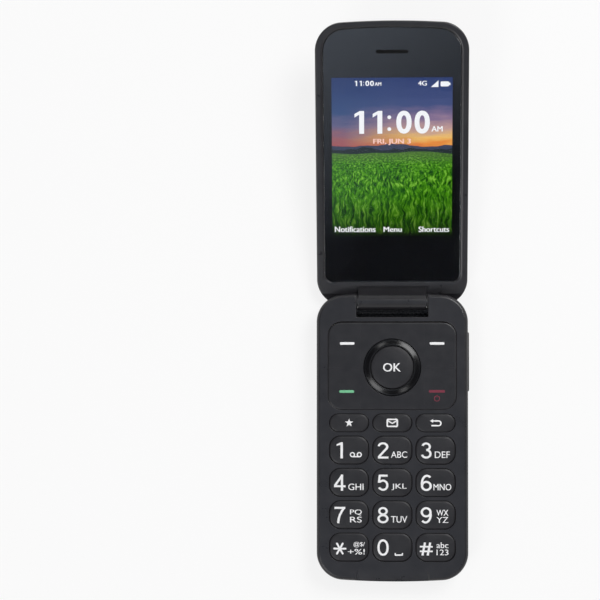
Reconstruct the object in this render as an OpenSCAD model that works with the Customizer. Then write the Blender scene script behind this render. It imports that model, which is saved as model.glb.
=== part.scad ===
// Folding phone, lying on its back with the lid opened to its stop.
// Millimetres. X is the width, +Y runs from the keypad to the hinge, +Z is up.
// The origin is the middle of the back face that the phone rests on.
// The lid is drawn closed over the base, and lid_pose() swings it open about the hinge.

/* [Body] */
// Width of the phone
body_w = 55.1; // [53.5:0.1:58]
// Length of the closed phone
body_l = 105; // [104:0.5:110]
// Thickness of the base
base_t = 11.9; // [11.8:0.1:13]
// Thickness of the lid
lid_t = 6.4; // [6.3:0.1:7]
// Gap between the closed lid and the base
lid_gap = 0.4; // [0.3:0.05:0.5]
// Corner radius, seen from the front
corner_r = 9.2; // [9.1:0.1:10]
// How far the middle of a short end bows out past its corners
end_bow = 1.3; // [0.8:0.1:1.6]
// Height of the joint between the two halves of the base
base_split = 6; // [5.8:0.1:6.2]
// Depth of the lid's inner frame
frame_t = 1.6; // [1.5:0.1:1.8]
// Wall thickness of the mouldings
wall = 1.3; // [1.1:0.1:1.4]
// Thickness of the front wall that the keys come through
front_wall = 1.6; // [1.4:0.1:1.7]
// Radius along the front edge of the base
front_edge = 1.4; // [1:0.1:1.5]
// Width of the rounded shoulder along the back of the base
back_round_w = 5.5; // [5:0.1:6]
// Height of the rounded shoulder along the back of the base
back_round_h = 4.5; // [4:0.1:5]
// Width of the rounded shoulder along the lid's sides
lid_round_w = 7; // [6:0.1:7.5]
// Length of the rounded heel at the lid's hinge end
heel_round = 9; // [8.8:0.1:9]
// Bevel around the lid's inner face
lid_bevel = 0.5; // [0.3:0.1:0.7]

/* [Hinge] */
// Radius of the hinge barrel and of the base's knuckles
barrel_r = 3.1; // [3:0.05:3.2]
// Length of the lid's barrel
barrel_l = 25; // [24:0.5:26]
// Gap between the barrel and each knuckle
barrel_gap = 0.55; // [0.3:0.05:0.7]
// How far the slot for the barrel reaches behind the axis
slot_reach = 5.65; // [5.5:0.05:5.8]
// How far the lid opens
open_angle = 165; // [155:1:166]
// How far the barrel's web reaches along the lid
web_reach = 4.65; // [4.4:0.05:4.9]
// Clearance of the lid around the knuckles
knuckle_gap = 0.3; // [0.25:0.05:0.4]
// Space behind the axis for the lid's heel
heel_space = 3; // [2.9:0.1:3.2]
// Radius of the cam unit in the barrel
cam_r = 2.1; // [2:0.05:2.15]
// Length of the cam unit
cam_l = 14; // [12:0.5:15]
// Radius of the cam unit's shaft
shaft_r = 1.25; // [1.1:0.05:1.3]
// Radius of the plain hinge pin
pin_r = 1.1; // [1:0.05:1.2]
// How deep the shaft and the pin sit in the knuckles
pin_depth = 7; // [6:0.5:8]
// Length of the bush in the barrel
bush_l = 5; // [4:0.5:6]
// Running clearance of the shaft and the pin
run_gap = 0.05; // [0.03:0.01:0.08]
// Clearance of pieces pressed or bonded in place
fit_gap = 0.03; // [0.02:0.01:0.05]

/* [Inner screen side of the lid] */
// Rim left at each side of the inner lens
lens_side = 2.8; // [2.3:0.05:3.2]
// Start of the inner lens, from the hinge axis
lens_from = 6.55; // [6.3:0.05:7]
// Rim left beyond the far end of the inner lens
lens_rim = 2.2; // [2:0.1:2.5]
// Thickness of the inner lens
lens_t = 0.9; // [0.7:0.1:0.9]
// How far the inner lens lies below its rim
lens_sink = 0.1; // [0.05:0.05:0.15]
// Gap around the lenses
lens_gap = 0.15; // [0.1:0.05:0.2]
// Radius of the inner lens corners by the hinge
lens_r_low = 3; // [2:0.5:4]
// Radius of the inner lens corners at the far end
lens_r_far = 7.2; // [6:0.2:8]
// Width of the ledge that carries the inner lens
lens_ledge = 1.4; // [1.2:0.1:1.5]
// From the side of the inner lens to the main display module
display_side = 1.8; // [1.7:0.1:2.4]
// From the middle of the earpiece to the main display module
display_gap = 3.96; // [3.8:0.05:5]
// Thickness of the main display module
display_t = 1.6; // [1.5:0.05:1.65]
// Start of the main display module, from the hinge axis
display_from = 21; // [20.5:0.5:22]
// Middle of the earpiece slot, from the far end of the lid
earpiece_from_end = 10.94; // [10:0.1:11.5]
// Length of the earpiece slot
earpiece_slot_w = 11.6; // [10:0.2:12]
// Width of the earpiece slot
earpiece_slot_h = 1.15; // [0.9:0.05:1.4]

/* [Outer side of the lid] */
// Middle of the camera, from the hinge axis
camera_at = 11.4; // [11:0.2:12]
// Outer radius of the camera ring
camera_ring_r = 5.05; // [4.8:0.05:5.3]
// Width of the camera ring
camera_ring_w = 0.5; // [0.4:0.05:0.6]
// Side of the camera module
camera_w = 8; // [7.5:0.1:8.5]
// Middle of the outer window, from the hinge axis
window_at = 48.1; // [47:0.2:49]
// Width of the outer window
window_w = 31.4; // [30:0.2:33]
// Length of the outer window
window_l = 35.5; // [34:0.2:37]
// Corner radius of the outer window
window_r = 3.5; // [2.5:0.1:5]
// Thickness of the outer lens
window_t = 0.8; // [0.7:0.05:0.9]
// Width of the ledge that carries the outer lens
window_ledge = 1.6; // [1.3:0.1:2]
// Width of the outer display module
outer_display_w = 27.6; // [26:0.2:29]
// Length of the outer display module
outer_display_l = 31; // [29:0.5:33]
// Thickness of the outer display module
outer_display_t = 1.35; // [1.2:0.05:1.4]
// Thickness of the lid's circuit board
lid_board_t = 0.6; // [0.5:0.05:0.65]

/* [Keys] */
// From the side of the phone to the outer keys
key_side = 4.675; // [4.5:0.025:5.1]
// From the hinge axis to the first row of number keys
keys_from = 48.975; // [48.9:0.025:49.3]
// From the last row of number keys to the foot of the phone
keys_foot = 7.425; // [7.2:0.025:8]
// Height of a function key, seen from the front
function_key_h = 6.55; // [6:0.05:7]
// Gap between key columns
column_gap = 1.35; // [1.2:0.05:1.6]
// Gap between rows of number keys
row_gap = 1.5; // [1.3:0.05:1.6]
// Row of function keys, behind the hinge axis
function_row = 44.2; // [44:0.1:44.4]
// Radius of the crowned key tops
key_crown = 60; // [45:1:90]
// How far the key tops stand above the front
key_proud = 0.15; // [0.05:0.05:0.2]
// Gap around a key
key_gap = 0.12; // [0.1:0.01:0.16]
// Width of the flange that holds a key in
key_flange = 0.4; // [0.3:0.05:0.42]
// Thickness of that flange
key_flange_t = 0.6; // [0.5:0.05:0.7]
// How far a key travels
key_travel = 0.25; // [0.2:0.01:0.3]
// Radius of the plunger under a key
plunger_r = 1.25; // [1:0.05:1.5]
// From the side of the phone to the navigation panel
panel_side = 4.25; // [4.1:0.05:4.5]
// Height of the navigation panel, seen from the front
panel_h = 31.9; // [31.4:0.1:32]
// Corner radius of the navigation panel
panel_r = 5; // [4:0.1:6]
// Middle of the navigation panel, behind the hinge axis
panel_at = 23.4; // [23.4:0.05:23.5]
// Middle of the navigation ring, behind the hinge axis
ring_at = 24; // [23.8:0.05:24.2]
// Outer radius of the navigation ring
ring_r = 10.35; // [10.2:0.05:10.4]
// Width of the navigation ring
ring_w = 2.4; // [2.2:0.05:2.5]
// Half width of the fixed strip that holds the ring
strip_half = 11.6; // [11.5:0.05:12]
// Largest tilt of the navigation ring
ring_tilt = 1; // [0.8:0.1:1]
// Length of the side key
side_key_l = 21.7; // [20:0.1:23]
// Height of the side key
side_key_h = 2.6; // [2.2:0.1:2.8]
// How far the side key stands out
side_key_proud = 0.45; // [0.3:0.05:0.5]
// Middle of the side key, behind the hinge axis
side_key_at = 22; // [21:0.5:23]

/* [Inside the base] */
// Height of the underside of the main board
board_z = 7; // [6.95:0.05:7.1]
// Thickness of the main board
board_t = 0.9; // [0.8:0.05:0.95]
// From the side of the phone to the main board
board_side = 3.65; // [3.5:0.05:4.2]
// Thickness of the dome sheet
dome_sheet_t = 0.2; // [0.15:0.05:0.25]
// Height of a snap dome
dome_h = 0.25; // [0.2:0.05:0.3]
// Radius of a snap dome
dome_r = 2.4; // [2:0.1:2.6]
// Width of the battery
battery_w = 34; // [32:0.5:35]
// From the hinge axis to the battery
battery_from = 39.4; // [39:0.2:42]
// From the battery to the foot of the phone
battery_foot = 14.5; // [14:0.5:18]
// Thickness of the battery
battery_t = 4.2; // [3.8:0.1:4.3]
// From the rounded shoulders of the back to the battery cover
cover_side = 0.75; // [0.7:0.05:1.3]
// From the hinge axis to the battery cover
cover_from = 31.9; // [31:0.2:33]
// From the battery cover to the foot of the phone
cover_foot = 8; // [7.5:0.5:9]
// Thickness of the battery cover
cover_t = 1.2; // [1:0.05:1.25]
// Thickness of the floor of the base
floor_t = 2.2; // [2.1:0.05:2.3]
// Radius of the headset socket's bore
jack_r = 1.8; // [1.75:0.01:1.85]
// Depth of the headset socket's bore
jack_l = 14; // [13:0.5:15]
// Middle of the headset socket, behind the hinge axis
jack_at = 24.4; // [23:0.2:25]
// Width of the charging socket
usb_w = 7.6; // [7.4:0.1:8]
// Height of the charging socket
usb_h = 2.7; // [2.5:0.1:2.8]
// Radius of a case screw
screw_r = 0.7; // [0.6:0.05:0.8]
// From the side of the phone to the case screws
screw_side = 8.05; // [7.9:0.05:8.5]
// Bevelled area at the foot of the front, half its width
bevel_half = 13.4; // [12:0.2:15]

/* [Hidden] */
$fn = 64;
corner_steps = 8;
end_steps = 6;
cut = 1;
hinge_y = body_l / 2 - barrel_r;
hinge_z = base_t - barrel_r;
lid_z = base_t + lid_gap;
split_z = lid_z + frame_t;
top_z = lid_z + lid_t;
slot_half = barrel_l / 2 + barrel_gap;
half_w = body_w / 2;
half_l = body_l / 2;
lens_w = body_w - 2 * lens_side;
earpiece_at = body_l - barrel_r - earpiece_from_end;
display_w = lens_w - 2 * display_side;
display_l = earpiece_at - display_gap - display_from;
key_w = (body_w - 2 * key_side - 2 * column_gap) / 3;
column_pitch = key_w + column_gap;
key_h = (body_l - barrel_r - keys_foot - keys_from - 3 * row_gap) / 4;
row_pitch = key_h + row_gap;
first_row = keys_from + key_h / 2;
panel_w = body_w - 2 * panel_side;
board_w = body_w - 2 * board_side;
battery_l = body_l - barrel_r - battery_from - battery_foot;
battery_y = hinge_y - battery_from - battery_l / 2;
cover_w = body_w - 2 * back_round_w - 2 * cover_side;
cover_l = body_l - barrel_r - cover_from - cover_foot;
cover_y = hinge_y - cover_from - cover_l / 2;
screw_x = half_w - screw_side;
jack_y = hinge_y - jack_at;

// ---- Outline of the phone, and solids that follow it ----

// A corner of the outline in quadrant q: its centre stays, its two radii shrink by the insets
function corner(q, side, end) =
    let (sx = (q == 0 || q == 3) ? 1 : -1, sy = q < 2 ? 1 : -1)
    [for (i = [0 : corner_steps]) let (a = 90 * (q + i / corner_steps))
        [sx * (half_w - corner_r) + (corner_r - side) * cos(a),
         sy * (half_l - corner_r) + (corner_r - end) * sin(a)]];

// Points along a short end between its two corners
function end_points(sy, end) =
    [for (i = [1 : end_steps - 1])
        [sy * (half_w - corner_r) * (1 - 2 * i / end_steps), sy * (half_l - end)]];

// One level of a shell: its height and how far it draws in at the sides and at the two ends
function ring(level) =
    let (side = level[1], hinge = level[2], far = level[3], clip = level[4],
        flat = concat(corner(0, side, hinge), end_points(1, hinge), corner(1, side, hinge),
            corner(2, side, far), end_points(-1, far), corner(3, side, far)))
    [for (p = flat)
        [p.x, min(clip, p.y - sign(p.y) * end_bow * pow(p.x / half_w, 2)), level[0]]];

function level(z, side, hinge = undef, far = undef, clip = 1000) =
    [z, side, is_undef(hinge) ? side : hinge, is_undef(far) ? side : far, clip];

// How far an elliptical shoulder of a given reach draws in, at a share t of its height
function draw_in(t, reach) = reach * (1 - sqrt(max(0, 1 - t * t)));

module shell_solid(levels) {
    n = len(ring(levels[0]));
    tops = len(levels) - 1;
    sides = [for (k = [0 : tops - 1], i = [0 : n - 1])
        let (a = k * n + i, b = a + n, c = (k + 1) * n + (i + 1) % n, d = k * n + (i + 1) % n)
        each [[a, b, c], [a, c, d]]];
    polyhedron(
        points = [for (l = levels) each ring(l)],
        faces = concat([[for (i = [0 : n - 1]) i]], sides,
            [[for (i = [0 : n - 1]) tops * n + n - 1 - i]]));
}

module rounded_rect(w, l, r) {
    square([w - 2 * r, l], center = true);
    square([w, l - 2 * r], center = true);
    for (sx = [-1, 1], sy = [-1, 1])
        translate([sx * (w / 2 - r), sy * (l / 2 - r)]) circle(r);
}

// A plate with round corners, between two heights
module plate(w, l, r, z0, z1, x = 0, y = 0) {
    translate([x, y, z0]) linear_extrude(z1 - z0) rounded_rect(w, l, r);
}

// A box given by its middle in X and Y and its two heights
module block(w, l, z0, z1, x = 0, y = 0) {
    translate([x - w / 2, y - l / 2, z0]) cube([w, l, z1 - z0]);
}

module rod_x(r, x0, x1, y = 0, z = 0) {
    translate([x0, y, z]) rotate([0, 90, 0]) cylinder(r = r, h = x1 - x0);
}

module at_hinge() {
    translate([0, hinge_y, hinge_z]) children();
}

// Swings what is drawn closed to the open rest position
module lid_pose() {
    at_hinge() rotate([-open_angle, 0, 0]) translate([0, -hinge_y, -hinge_z]) children();
}

// A cross-section drawn in Y and Z, extruded along X
module along_x(x0, x1) {
    translate([x0, 0, 0]) rotate([90, 0, 90]) linear_extrude(x1 - x0) children();
}

// Place along the closed lid at a distance from the hinge axis
function lid_y(s) = hinge_y - s;

// ---- Base housings ----

rear_end = hinge_y - heel_space;
rear_edge = 1.6;
cavity_end = hinge_y - slot_reach - wall;
end_wall = wall + 0.9;
front_in = base_t - front_wall;
deck_z = board_z - 0.3;
deck_t = 0.8;
bay_gap = 0.3;
bay_wall = 0.9;
screw_rear_y = rear_end - rear_edge - screw_r * 2;
screw_far_y = -half_l + wall + 3.6;
board_l = cavity_end + half_l - end_wall - 1.5;
board_y = cavity_end - 0.6 - board_l / 2;
battery_z = cover_t + 0.2;
usb_z = board_z - 0.1 - usb_h;
jack_z = (floor_t + board_z) / 2;
jack_w = 5.4;

function front_levels() = concat(
    [level(hinge_z - barrel_r - 0.05, 0), level(base_t - front_edge, 0)],
    [for (a = [22.5 : 22.5 : 90])
        level(base_t - front_edge * (1 - sin(a)), front_edge * (1 - cos(a)))]);

function rear_levels() = concat(
    [for (a = [90, 72, 54, 36, 18, 0]) let (z = back_round_h * (1 - sin(a)))
        level(z, back_round_w * (1 - cos(a)), clip = rear_end - rear_drop(z))],
    [level(base_split, 0, clip = rear_end)]);

// The rounded lower edge at the hinge end of the rear housing
function rear_drop(z) = z >= rear_edge ? 0 : rear_edge * (1 - sqrt(1 - pow(1 - z / rear_edge, 2)));

function key_names() = ["1", "2", "3", "4", "5", "6", "7", "8", "9", "star", "0", "hash"];
function key_xy(i) = [((i % 3) - 1) * column_pitch, hinge_y - first_row - floor(i / 3) * row_pitch];
function function_xy(i) = [(i - 1) * column_pitch, hinge_y - function_row];
panel_y = hinge_y - panel_at;
ring_y = hinge_y - ring_at;
side_y = hinge_y - side_key_at;
side_z = (base_split + front_in) / 2 + 0.2;
side_in = half_w - wall;
rock_room = 0.3;
side_flange_t = 0.45;
key_r = 4;
function_key_r = 3.2;

module key_holes() {
    for (i = [0 : 11])
        plate(key_w + 2 * key_gap, key_h + 2 * key_gap, key_r, front_in - cut, base_t + cut,
            key_xy(i).x, key_xy(i).y);
    for (i = [0 : 2])
        plate(key_w + 2 * key_gap, function_key_h + 2 * key_gap, function_key_r,
            front_in - cut, base_t + cut, function_xy(i).x, function_xy(i).y);
    plate(panel_w + 2 * key_gap, panel_h + 2 * key_gap, panel_r, front_in - cut, base_t + cut,
        0, panel_y);
}

// Screw holes: a clearance hole with a head recess behind, a blind hole in front
module screw_places() {
    for (sx = [-1, 1], y = [screw_rear_y, screw_far_y])
        translate([sx * screw_x, y, 0]) children();
}

screw_head_r = 1.3;
screw_head_z = 1.5;
screw_head_t = 0.8;
screw_tip_z = base_split + 3;
boss_r = 1.9;
boss_gap = 0.15;

module foot_bevel() {
    // The sloping face at the foot of the front, where a thumb lifts the lid
    reach = 4.6;
    depth = 0.9;
    along_x(-bevel_half, bevel_half)
        polygon([[-half_l - cut, base_t - depth * (1 + cut / reach)],
            [-half_l + reach, base_t], [-half_l + reach, base_t + cut], [-half_l - cut, base_t + cut]]);
}

module front_housing() {
    color("#3b3b3e") difference() {
        // The knuckles reach a little below the joint between the halves
        intersection() {
            shell_solid(front_levels());
            union() {
                block(body_w + cut, body_l, base_split, base_t + cut, 0, hinge_y - half_l);
                block(body_w + cut, 2 * barrel_r, hinge_z, base_t + cut, 0, hinge_y);
                at_hinge() rod_x(barrel_r, -half_w, half_w);
            }
        }
        // Inside: hollow below the front wall, solid at the knuckles
        difference() {
            block(body_w - 2 * wall, cavity_end + half_l - end_wall, base_split - cut, front_in,
                0, (cavity_end - half_l + end_wall) / 2);
            // round inner corners at the foot
            for (s = [-1, 1]) translate([s * (half_w - wall), -half_l + end_wall, 0])
                foot_corner(-s);
            for (s = [-1, 1]) translate([s * screw_x, screw_far_y, 0])
                cylinder(r = boss_r, h = base_t);
        }
        // The barrel's slot, with a low boss on each knuckle that closes the gap beside the barrel
        difference() {
            block(2 * slot_half, slot_reach + barrel_r + cut, 0, base_t + cut, 0,
                hinge_y + (barrel_r + cut - slot_reach) / 2);
            at_hinge() for (x0 = [-slot_half - cut, barrel_l / 2 + boss_gap])
                rod_x(barrel_r - 0.2, x0, x0 + slot_half - barrel_l / 2 - boss_gap + cut);
        }
        key_holes();
        foot_bevel();
        // Bores for the hinge shaft and the hinge pin
        at_hinge() rod_x(shaft_r + fit_gap, -slot_half - pin_depth, 0);
        at_hinge() rod_x(pin_r + fit_gap, 0, slot_half + pin_depth);
        screw_places() cylinder(r = screw_r + fit_gap, h = screw_tip_z + 0.3);
        // Side key
        block(2 * wall + cut, side_key_l + 2 * key_gap, side_z - side_key_h / 2 - key_gap,
            side_z + side_key_h / 2 + key_gap, half_w, side_y);
        usb_opening();
        jack_opening();
    }
}

// What stays solid in a square inner corner so that it becomes round
module foot_corner(side) {
    r = corner_r - wall;
    difference() {
        block(2 * r, 2 * r, 0, base_t);
        translate([side * r, r, -cut]) cylinder(r = r, h = base_t + 2 * cut);
        translate([side * r - (side > 0 ? 0 : r + cut), -r - cut, -cut])
            cube([r + cut, 2 * r + 2 * cut, base_t + 2 * cut]);
        translate([-r - cut, r, -cut]) cube([2 * r + 2 * cut, cut, base_t + 2 * cut]);
    }
}

module usb_opening() {
    plate_y(usb_w + 0.4, usb_h + 0.4, usb_h / 2, -half_l - cut, -half_l + end_wall + 2,
        usb_z + usb_h / 2);
}

module jack_opening() {
    rod_x(jack_r + 0.65, -half_w - cut, -inner_half + cut, jack_y, jack_z);
}

// A rounded slot of height h along Y
module plate_y(w, h, r, y0, y1, z) {
    translate([0, y1, z]) rotate([90, 0, 0]) linear_extrude(y1 - y0)
        rounded_rect(w, h, min(r, h / 2 - 0.01));
}

inner_half = half_w - wall - 1.9;

module rear_housing() {
    color("#38383b") difference() {
        union() {
            difference() {
                shell_solid(rear_levels());
                // Inside
                difference() {
                    plate(2 * inner_half, rear_end - wall + half_l - wall - 1.9, corner_r - 3.2,
                        floor_t, base_split + cut, 0, (rear_end - half_l + 1.9) / 2);
                    screw_places() cylinder(r = boss_r, h = base_split + 2 * cut);
                }
            }
            // Deck over the battery, under the board
            block(battery_w + 2 * bay_gap + 2 * bay_wall, battery_l + 2 * bay_gap + 2 * bay_wall,
                floor_t - 0.5, deck_z, 0, battery_y);
        }
        // Battery bay, open at the back
        block(battery_w + 2 * bay_gap, battery_l + 2 * bay_gap, -cut, deck_z - deck_t, 0, battery_y);
        // Recess for the battery cover
        plate(cover_w + 2 * key_gap, cover_l + 2 * key_gap, cover_r + key_gap, -cut,
            cover_t + 0.02, 0, cover_y);
        // Pockets for the cover's hooks
        for (sx = [-1, 1]) block(hook_w + 0.4, 1.5, cover_t, floor_t + cut,
            sx * hook_x, hook_y + 0.45);
        // Contacts reach the battery through its end wall
        block(contact_w + 0.4, 3, floor_t + 0.3, deck_z - deck_t, contact_x,
            battery_y + battery_l / 2 + bay_gap + bay_wall / 2);
        screw_places() {
            translate([0, 0, -cut]) cylinder(r = screw_r + 0.1, h = base_split + 2 * cut);
            translate([0, 0, -cut]) cylinder(r = screw_head_r + 0.1,
                h = screw_head_z + cut);
        }
        speaker_slots();
        jack_opening();
        usb_opening();
        rod_y(microphone_hole_r, -half_l - cut, -half_l + 6, microphone_x, microphone_z);
    }
}

module rod_y(r, y0, y1, x, z) {
    translate([x, y1, z]) rotate([90, 0, 0]) cylinder(r = r, h = y1 - y0);
}

cover_r = 5;
hook_w = 5;
hook_x = 13;
hook_out = 0.8;
hook_y = cover_y - cover_l / 2 + 1.6;
contact_w = 9;
contact_x = 9;
microphone_x = -12;
microphone_hole_r = 0.4;
microphone_z = base_split - microphone_hole_r - 0.1;
microphone_y = -half_l + end_wall + 4;

module speaker_slots() {
    for (i = [-2.5 : 1 : 2.5])
        plate(1, 7, 0.49, -cut, floor_t + cut, speaker_x + 2.2 * i, speaker_y);
}

module battery_cover() {
    color("#38383b") difference() {
        union() {
            plate(cover_w, cover_l, cover_r, 0, cover_t, 0, cover_y);
            for (sx = [-1, 1]) {
                block(hook_w, 0.8, cover_t - 0.1, floor_t + 0.9, sx * hook_x, hook_y + 0.3);
                block(hook_w, hook_out + 0.8, floor_t + 0.15, floor_t + 0.9, sx * hook_x,
                    hook_y - hook_out / 2 + 0.3);
            }
        }
        // Nail recess
        translate([0, cover_y + cover_l / 2 - 3.4, -15.4]) sphere(r = 16);
    }
}

// ---- Inside the base ----

module battery() {
    color("#c9c4ba") plate(battery_w, battery_l, 1, battery_z, battery_z + battery_t, 0, battery_y);
}

module battery_contacts() {
    y0 = battery_y + battery_l / 2 + bay_gap + bay_wall;
    color("#202022") block(contact_w, 3.2, floor_t + 0.02, deck_z - deck_t - 0.05, contact_x,
        y0 + 1.9);
    color("gold") for (i = [-1 : 1])
        block(1.2, 1.7, floor_t + 1.2, floor_t + 2.4, contact_x + 2.6 * i, y0 - 0.25);
}

module main_board() {
    color("#1f5136") difference() {
        plate(board_w, board_l, 3, board_z, board_z + board_t, 0, board_y);
        screw_places() cylinder(r = boss_r + 0.3, h = base_t);
        for (s = [-1, 1]) translate([s * (half_w - wall), -half_l + end_wall, 0])
            cylinder(r = 3.9, h = base_t);
    }
}

can_w = 22;
can_l = 11;
can_t = 2.4;
can_x = -9;
can_at = 13.9;
sheet_t = 0.2;

module shield_can() {
    y = hinge_y - can_at;
    color("#b9bcc0") difference() {
        plate(can_w, can_l, 0.6, board_z - can_t, board_z - 0.02, can_x, y);
        plate(can_w - 2 * sheet_t, can_l - 2 * sheet_t, 0.4, board_z - can_t + sheet_t,
            board_z + cut, can_x, y);
    }
}

dome_z = board_z + board_t + 0.05;
dome_top = dome_z + dome_sheet_t + dome_h;
sheet_top = hinge_y - panel_at + panel_h / 2;
sheet_foot = key_xy(11).y - key_h / 2 + 0.6;
soft_key_x = (strip_half + panel_w / 2) / 2 - 1.05;
soft_key_y = 8.2;

module dome(x, y) {
    // A shallow cap cut from a large ball
    ball = (dome_r * dome_r + dome_h * dome_h) / (2 * dome_h);
    translate([x, y, dome_z + dome_sheet_t]) intersection() {
        translate([0, 0, dome_h - ball]) sphere(r = ball);
        translate([0, 0, -dome_sheet_t / 2]) cylinder(r = dome_r + 1, h = dome_h + dome_sheet_t);
    }
}

module dome_sheet() {
    color("#cfc9b8") {
        plate(board_w - 2.4, sheet_top - sheet_foot, 2, dome_z, dome_z + dome_sheet_t, 0,
            (sheet_top + sheet_foot) / 2);
        for (i = [0 : 11]) dome(key_xy(i).x, key_xy(i).y);
        for (i = [0 : 2]) dome(function_xy(i).x, function_xy(i).y);
        for (sx = [-1, 1], sy = [-1, 1]) dome(sx * soft_key_x, ring_y + sy * soft_key_y);
        for (a = [0 : 90 : 270]) dome(rocker_foot * cos(a), ring_y + rocker_foot * sin(a));
        dome(0, ring_y);
    }
}

speaker_x = 11;
speaker_y = hinge_y - 15.4;
speaker_w = 15;
speaker_l = 11;
speaker_rim = 1.25;
speaker_t = 3;

module loudspeaker() {
    color("#26262a") difference() {
        plate(speaker_w, speaker_l, 1.5, floor_t + 0.02, floor_t + speaker_t, speaker_x, speaker_y);
        plate(speaker_w - 2 * speaker_rim, speaker_l - 2 * speaker_rim, 1, 0, floor_t + 0.6,
            speaker_x, speaker_y);
    }
}

module microphone() {
    color("#b09a5c") translate([microphone_x, microphone_y, board_z - 0.02 - 1.4])
        cylinder(r = 2, h = 1.4);
}

motor_r = 4;
motor_t = 2.5;
motor_x = -13;
motor_at = 33.9;

module vibration_motor() {
    color("#a9adb3") translate([motor_x, hinge_y - motor_at, floor_t + 0.02]) {
        cylinder(r = motor_r, h = motor_t);
        translate([motor_r - 1, -motor_r / 2 + 0.5, 0]) cube([3, motor_r - 1, motor_t / 3]);
    }
}

holder_w = 15.4;
holder_l = 13;
holder_t = 1.7;
holder_wall = 1.4;
holder_x = 10.2;
holder_at = 27.6;

module card_holder() {
    y = hinge_y - holder_at;
    color("#c4c7cc") difference() {
        plate(holder_w, holder_l, 0.8, board_z - holder_t, board_z - 0.02, holder_x, y);
        block(holder_w - 2 * holder_wall, holder_l + 1, board_z - holder_t + sheet_t,
            board_z - 0.6, holder_x, y - 1);
    }
}

module usb_socket() {
    depth = 5.4;
    y0 = -half_l + 0.6;
    z = usb_z + usb_h / 2;
    color("#b9bcc0") difference() {
        plate_y(usb_w, usb_h, usb_h * 0.35, y0, y0 + depth, z);
        plate_y(usb_w - 0.7, usb_h - 0.7, usb_h * 0.25, y0 - cut, y0 + depth - 0.5, z);
    }
    // Contact tongue
    color("#202022") block(usb_w - 3, depth - 1, z + 0.1, z + 0.55, 0, y0 + depth / 2 + 0.4);
}

module headset_jack() {
    x0 = -inner_half + 0.4;
    mouth = -half_w + 0.15;
    color("#1d1d20") difference() {
        union() {
            block(jack_l - 2, jack_w, floor_t + 0.02, board_z - 0.02, x0 + jack_l / 2 - 1, jack_y);
            rod_x(jack_r + 0.6, mouth, x0 + cut, jack_y, jack_z);
        }
        rod_x(jack_r, mouth - cut, mouth + jack_l, jack_y, jack_z);
    }
}

antenna_gap = 0.5;
antenna_w = screw_x - boss_r - 0.3 - usb_w / 2 - antenna_gap;
antenna_l = 3.2;
antenna_t = 3;

module antenna() {
    color("#d8d2c2") block(antenna_w, antenna_l, floor_t + 0.02, floor_t + antenna_t,
        screw_x - boss_r - 0.3 - antenna_w / 2, -half_l + wall + 1.9 + 0.8 + antenna_l / 2);
}

switch_t = 0.25;
switch_h = 3.4;
switch_dome_r = 1.3;

module side_switch() {
    x1 = side_in - rock_room - side_flange_t - 2 * switch_t;
    color("#c9a14a") block(switch_t, side_key_l - 4, side_z - switch_h / 2, side_z + switch_h / 2,
        x1 - switch_t / 2, side_y);
    color("#b9bcc0") for (s = [-1, 1])
        rod_x(switch_dome_r, x1 - switch_t / 5, x1 + switch_t * 0.8, side_y + s * side_key_l * 0.32,
            side_z);
}

module case_screws() {
    color("#8d9096") screw_places() difference() {
        union() {
            translate([0, 0, screw_head_z - screw_head_t - 0.02])
                cylinder(r = screw_head_r, h = screw_head_t);
            translate([0, 0, screw_head_z - 0.1]) cylinder(r = screw_r,
                h = screw_tip_z - screw_head_z + 0.1);
        }
        translate([0, 0, screw_head_z - screw_head_t - 0.1]) cylinder(r = 0.5, h = 0.45, $fn = 6);
    }
}

module hinge_pin() {
    color("#b9bcc0") at_hinge() rod_x(pin_r, barrel_l / 2 - bush_l + 0.2,
        slot_half + pin_depth - 0.1);
}

module hinge_shaft() {
    color("#b9bcc0") at_hinge() rod_x(shaft_r, -slot_half - pin_depth + 0.1,
        -barrel_l / 2 + cam_l / 2);
}

// ---- Lid ----

relief_r = knuckle_r() + knuckle_gap;
// Farthest point of a knuckle from the axis: its rounded upper edge
function knuckle_r() = (barrel_r - front_edge) * sqrt(2) + front_edge;

function frame_levels() = [
    level(lid_z, lid_bevel), level(lid_z + lid_bevel, 0), level(split_z, 0)];

function shoulder(z, extra = 0) =
    let (t = (z - split_z) / (top_z - split_z))
    level(z, draw_in(t, lid_round_w) + extra, min(draw_in(t, heel_round) + extra, corner_r - 0.1),
        draw_in(t, lid_round_w) + extra);

function outer_levels() =
    [for (a = [0, 15, 30, 45, 60, 75, 90]) shoulder(split_z + (top_z - split_z) * sin(a))];

outer_in = top_z - window_t - 0.05 - 0.35;
function lid_room_levels() =
    [for (z = [split_z - cut, split_z, split_z + (outer_in - split_z) * 0.45,
        split_z + (outer_in - split_z) * 0.8, outer_in])
        shoulder(max(z, split_z), wall) + [z - max(z, split_z), 0, 0, 0, 0]];

module knuckle_relief() {
    for (s = [-1, 1]) at_hinge()
        rod_x(relief_r, min(s * (barrel_l / 2 + 0.25), s * body_w),
            max(s * (barrel_l / 2 + 0.25), s * body_w));
}

// Anything of the lid that would reach the table when the lid is open
module table_relief() {
    at_hinge() rotate([open_angle, 0, 0]) translate([0, -hinge_y, -hinge_z])
        block(2 * body_w, 2 * body_l, -2 * base_t, 0.08, 0, hinge_y + body_l * 0.6);
}

lens_l = hinge_y + half_l - lens_from - lens_rim;
lens_y = lid_y(lens_from) - lens_l / 2;
lens_z0 = lid_z + lens_sink;
lens_z1 = lens_z0 + lens_t;
room_from = display_from - 0.6;
display_z = lens_z1 + 0.05;
lid_board_z = display_z + display_t + 0.05;
outer_display_z = lid_board_z + lid_board_t + 0.05;

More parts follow.
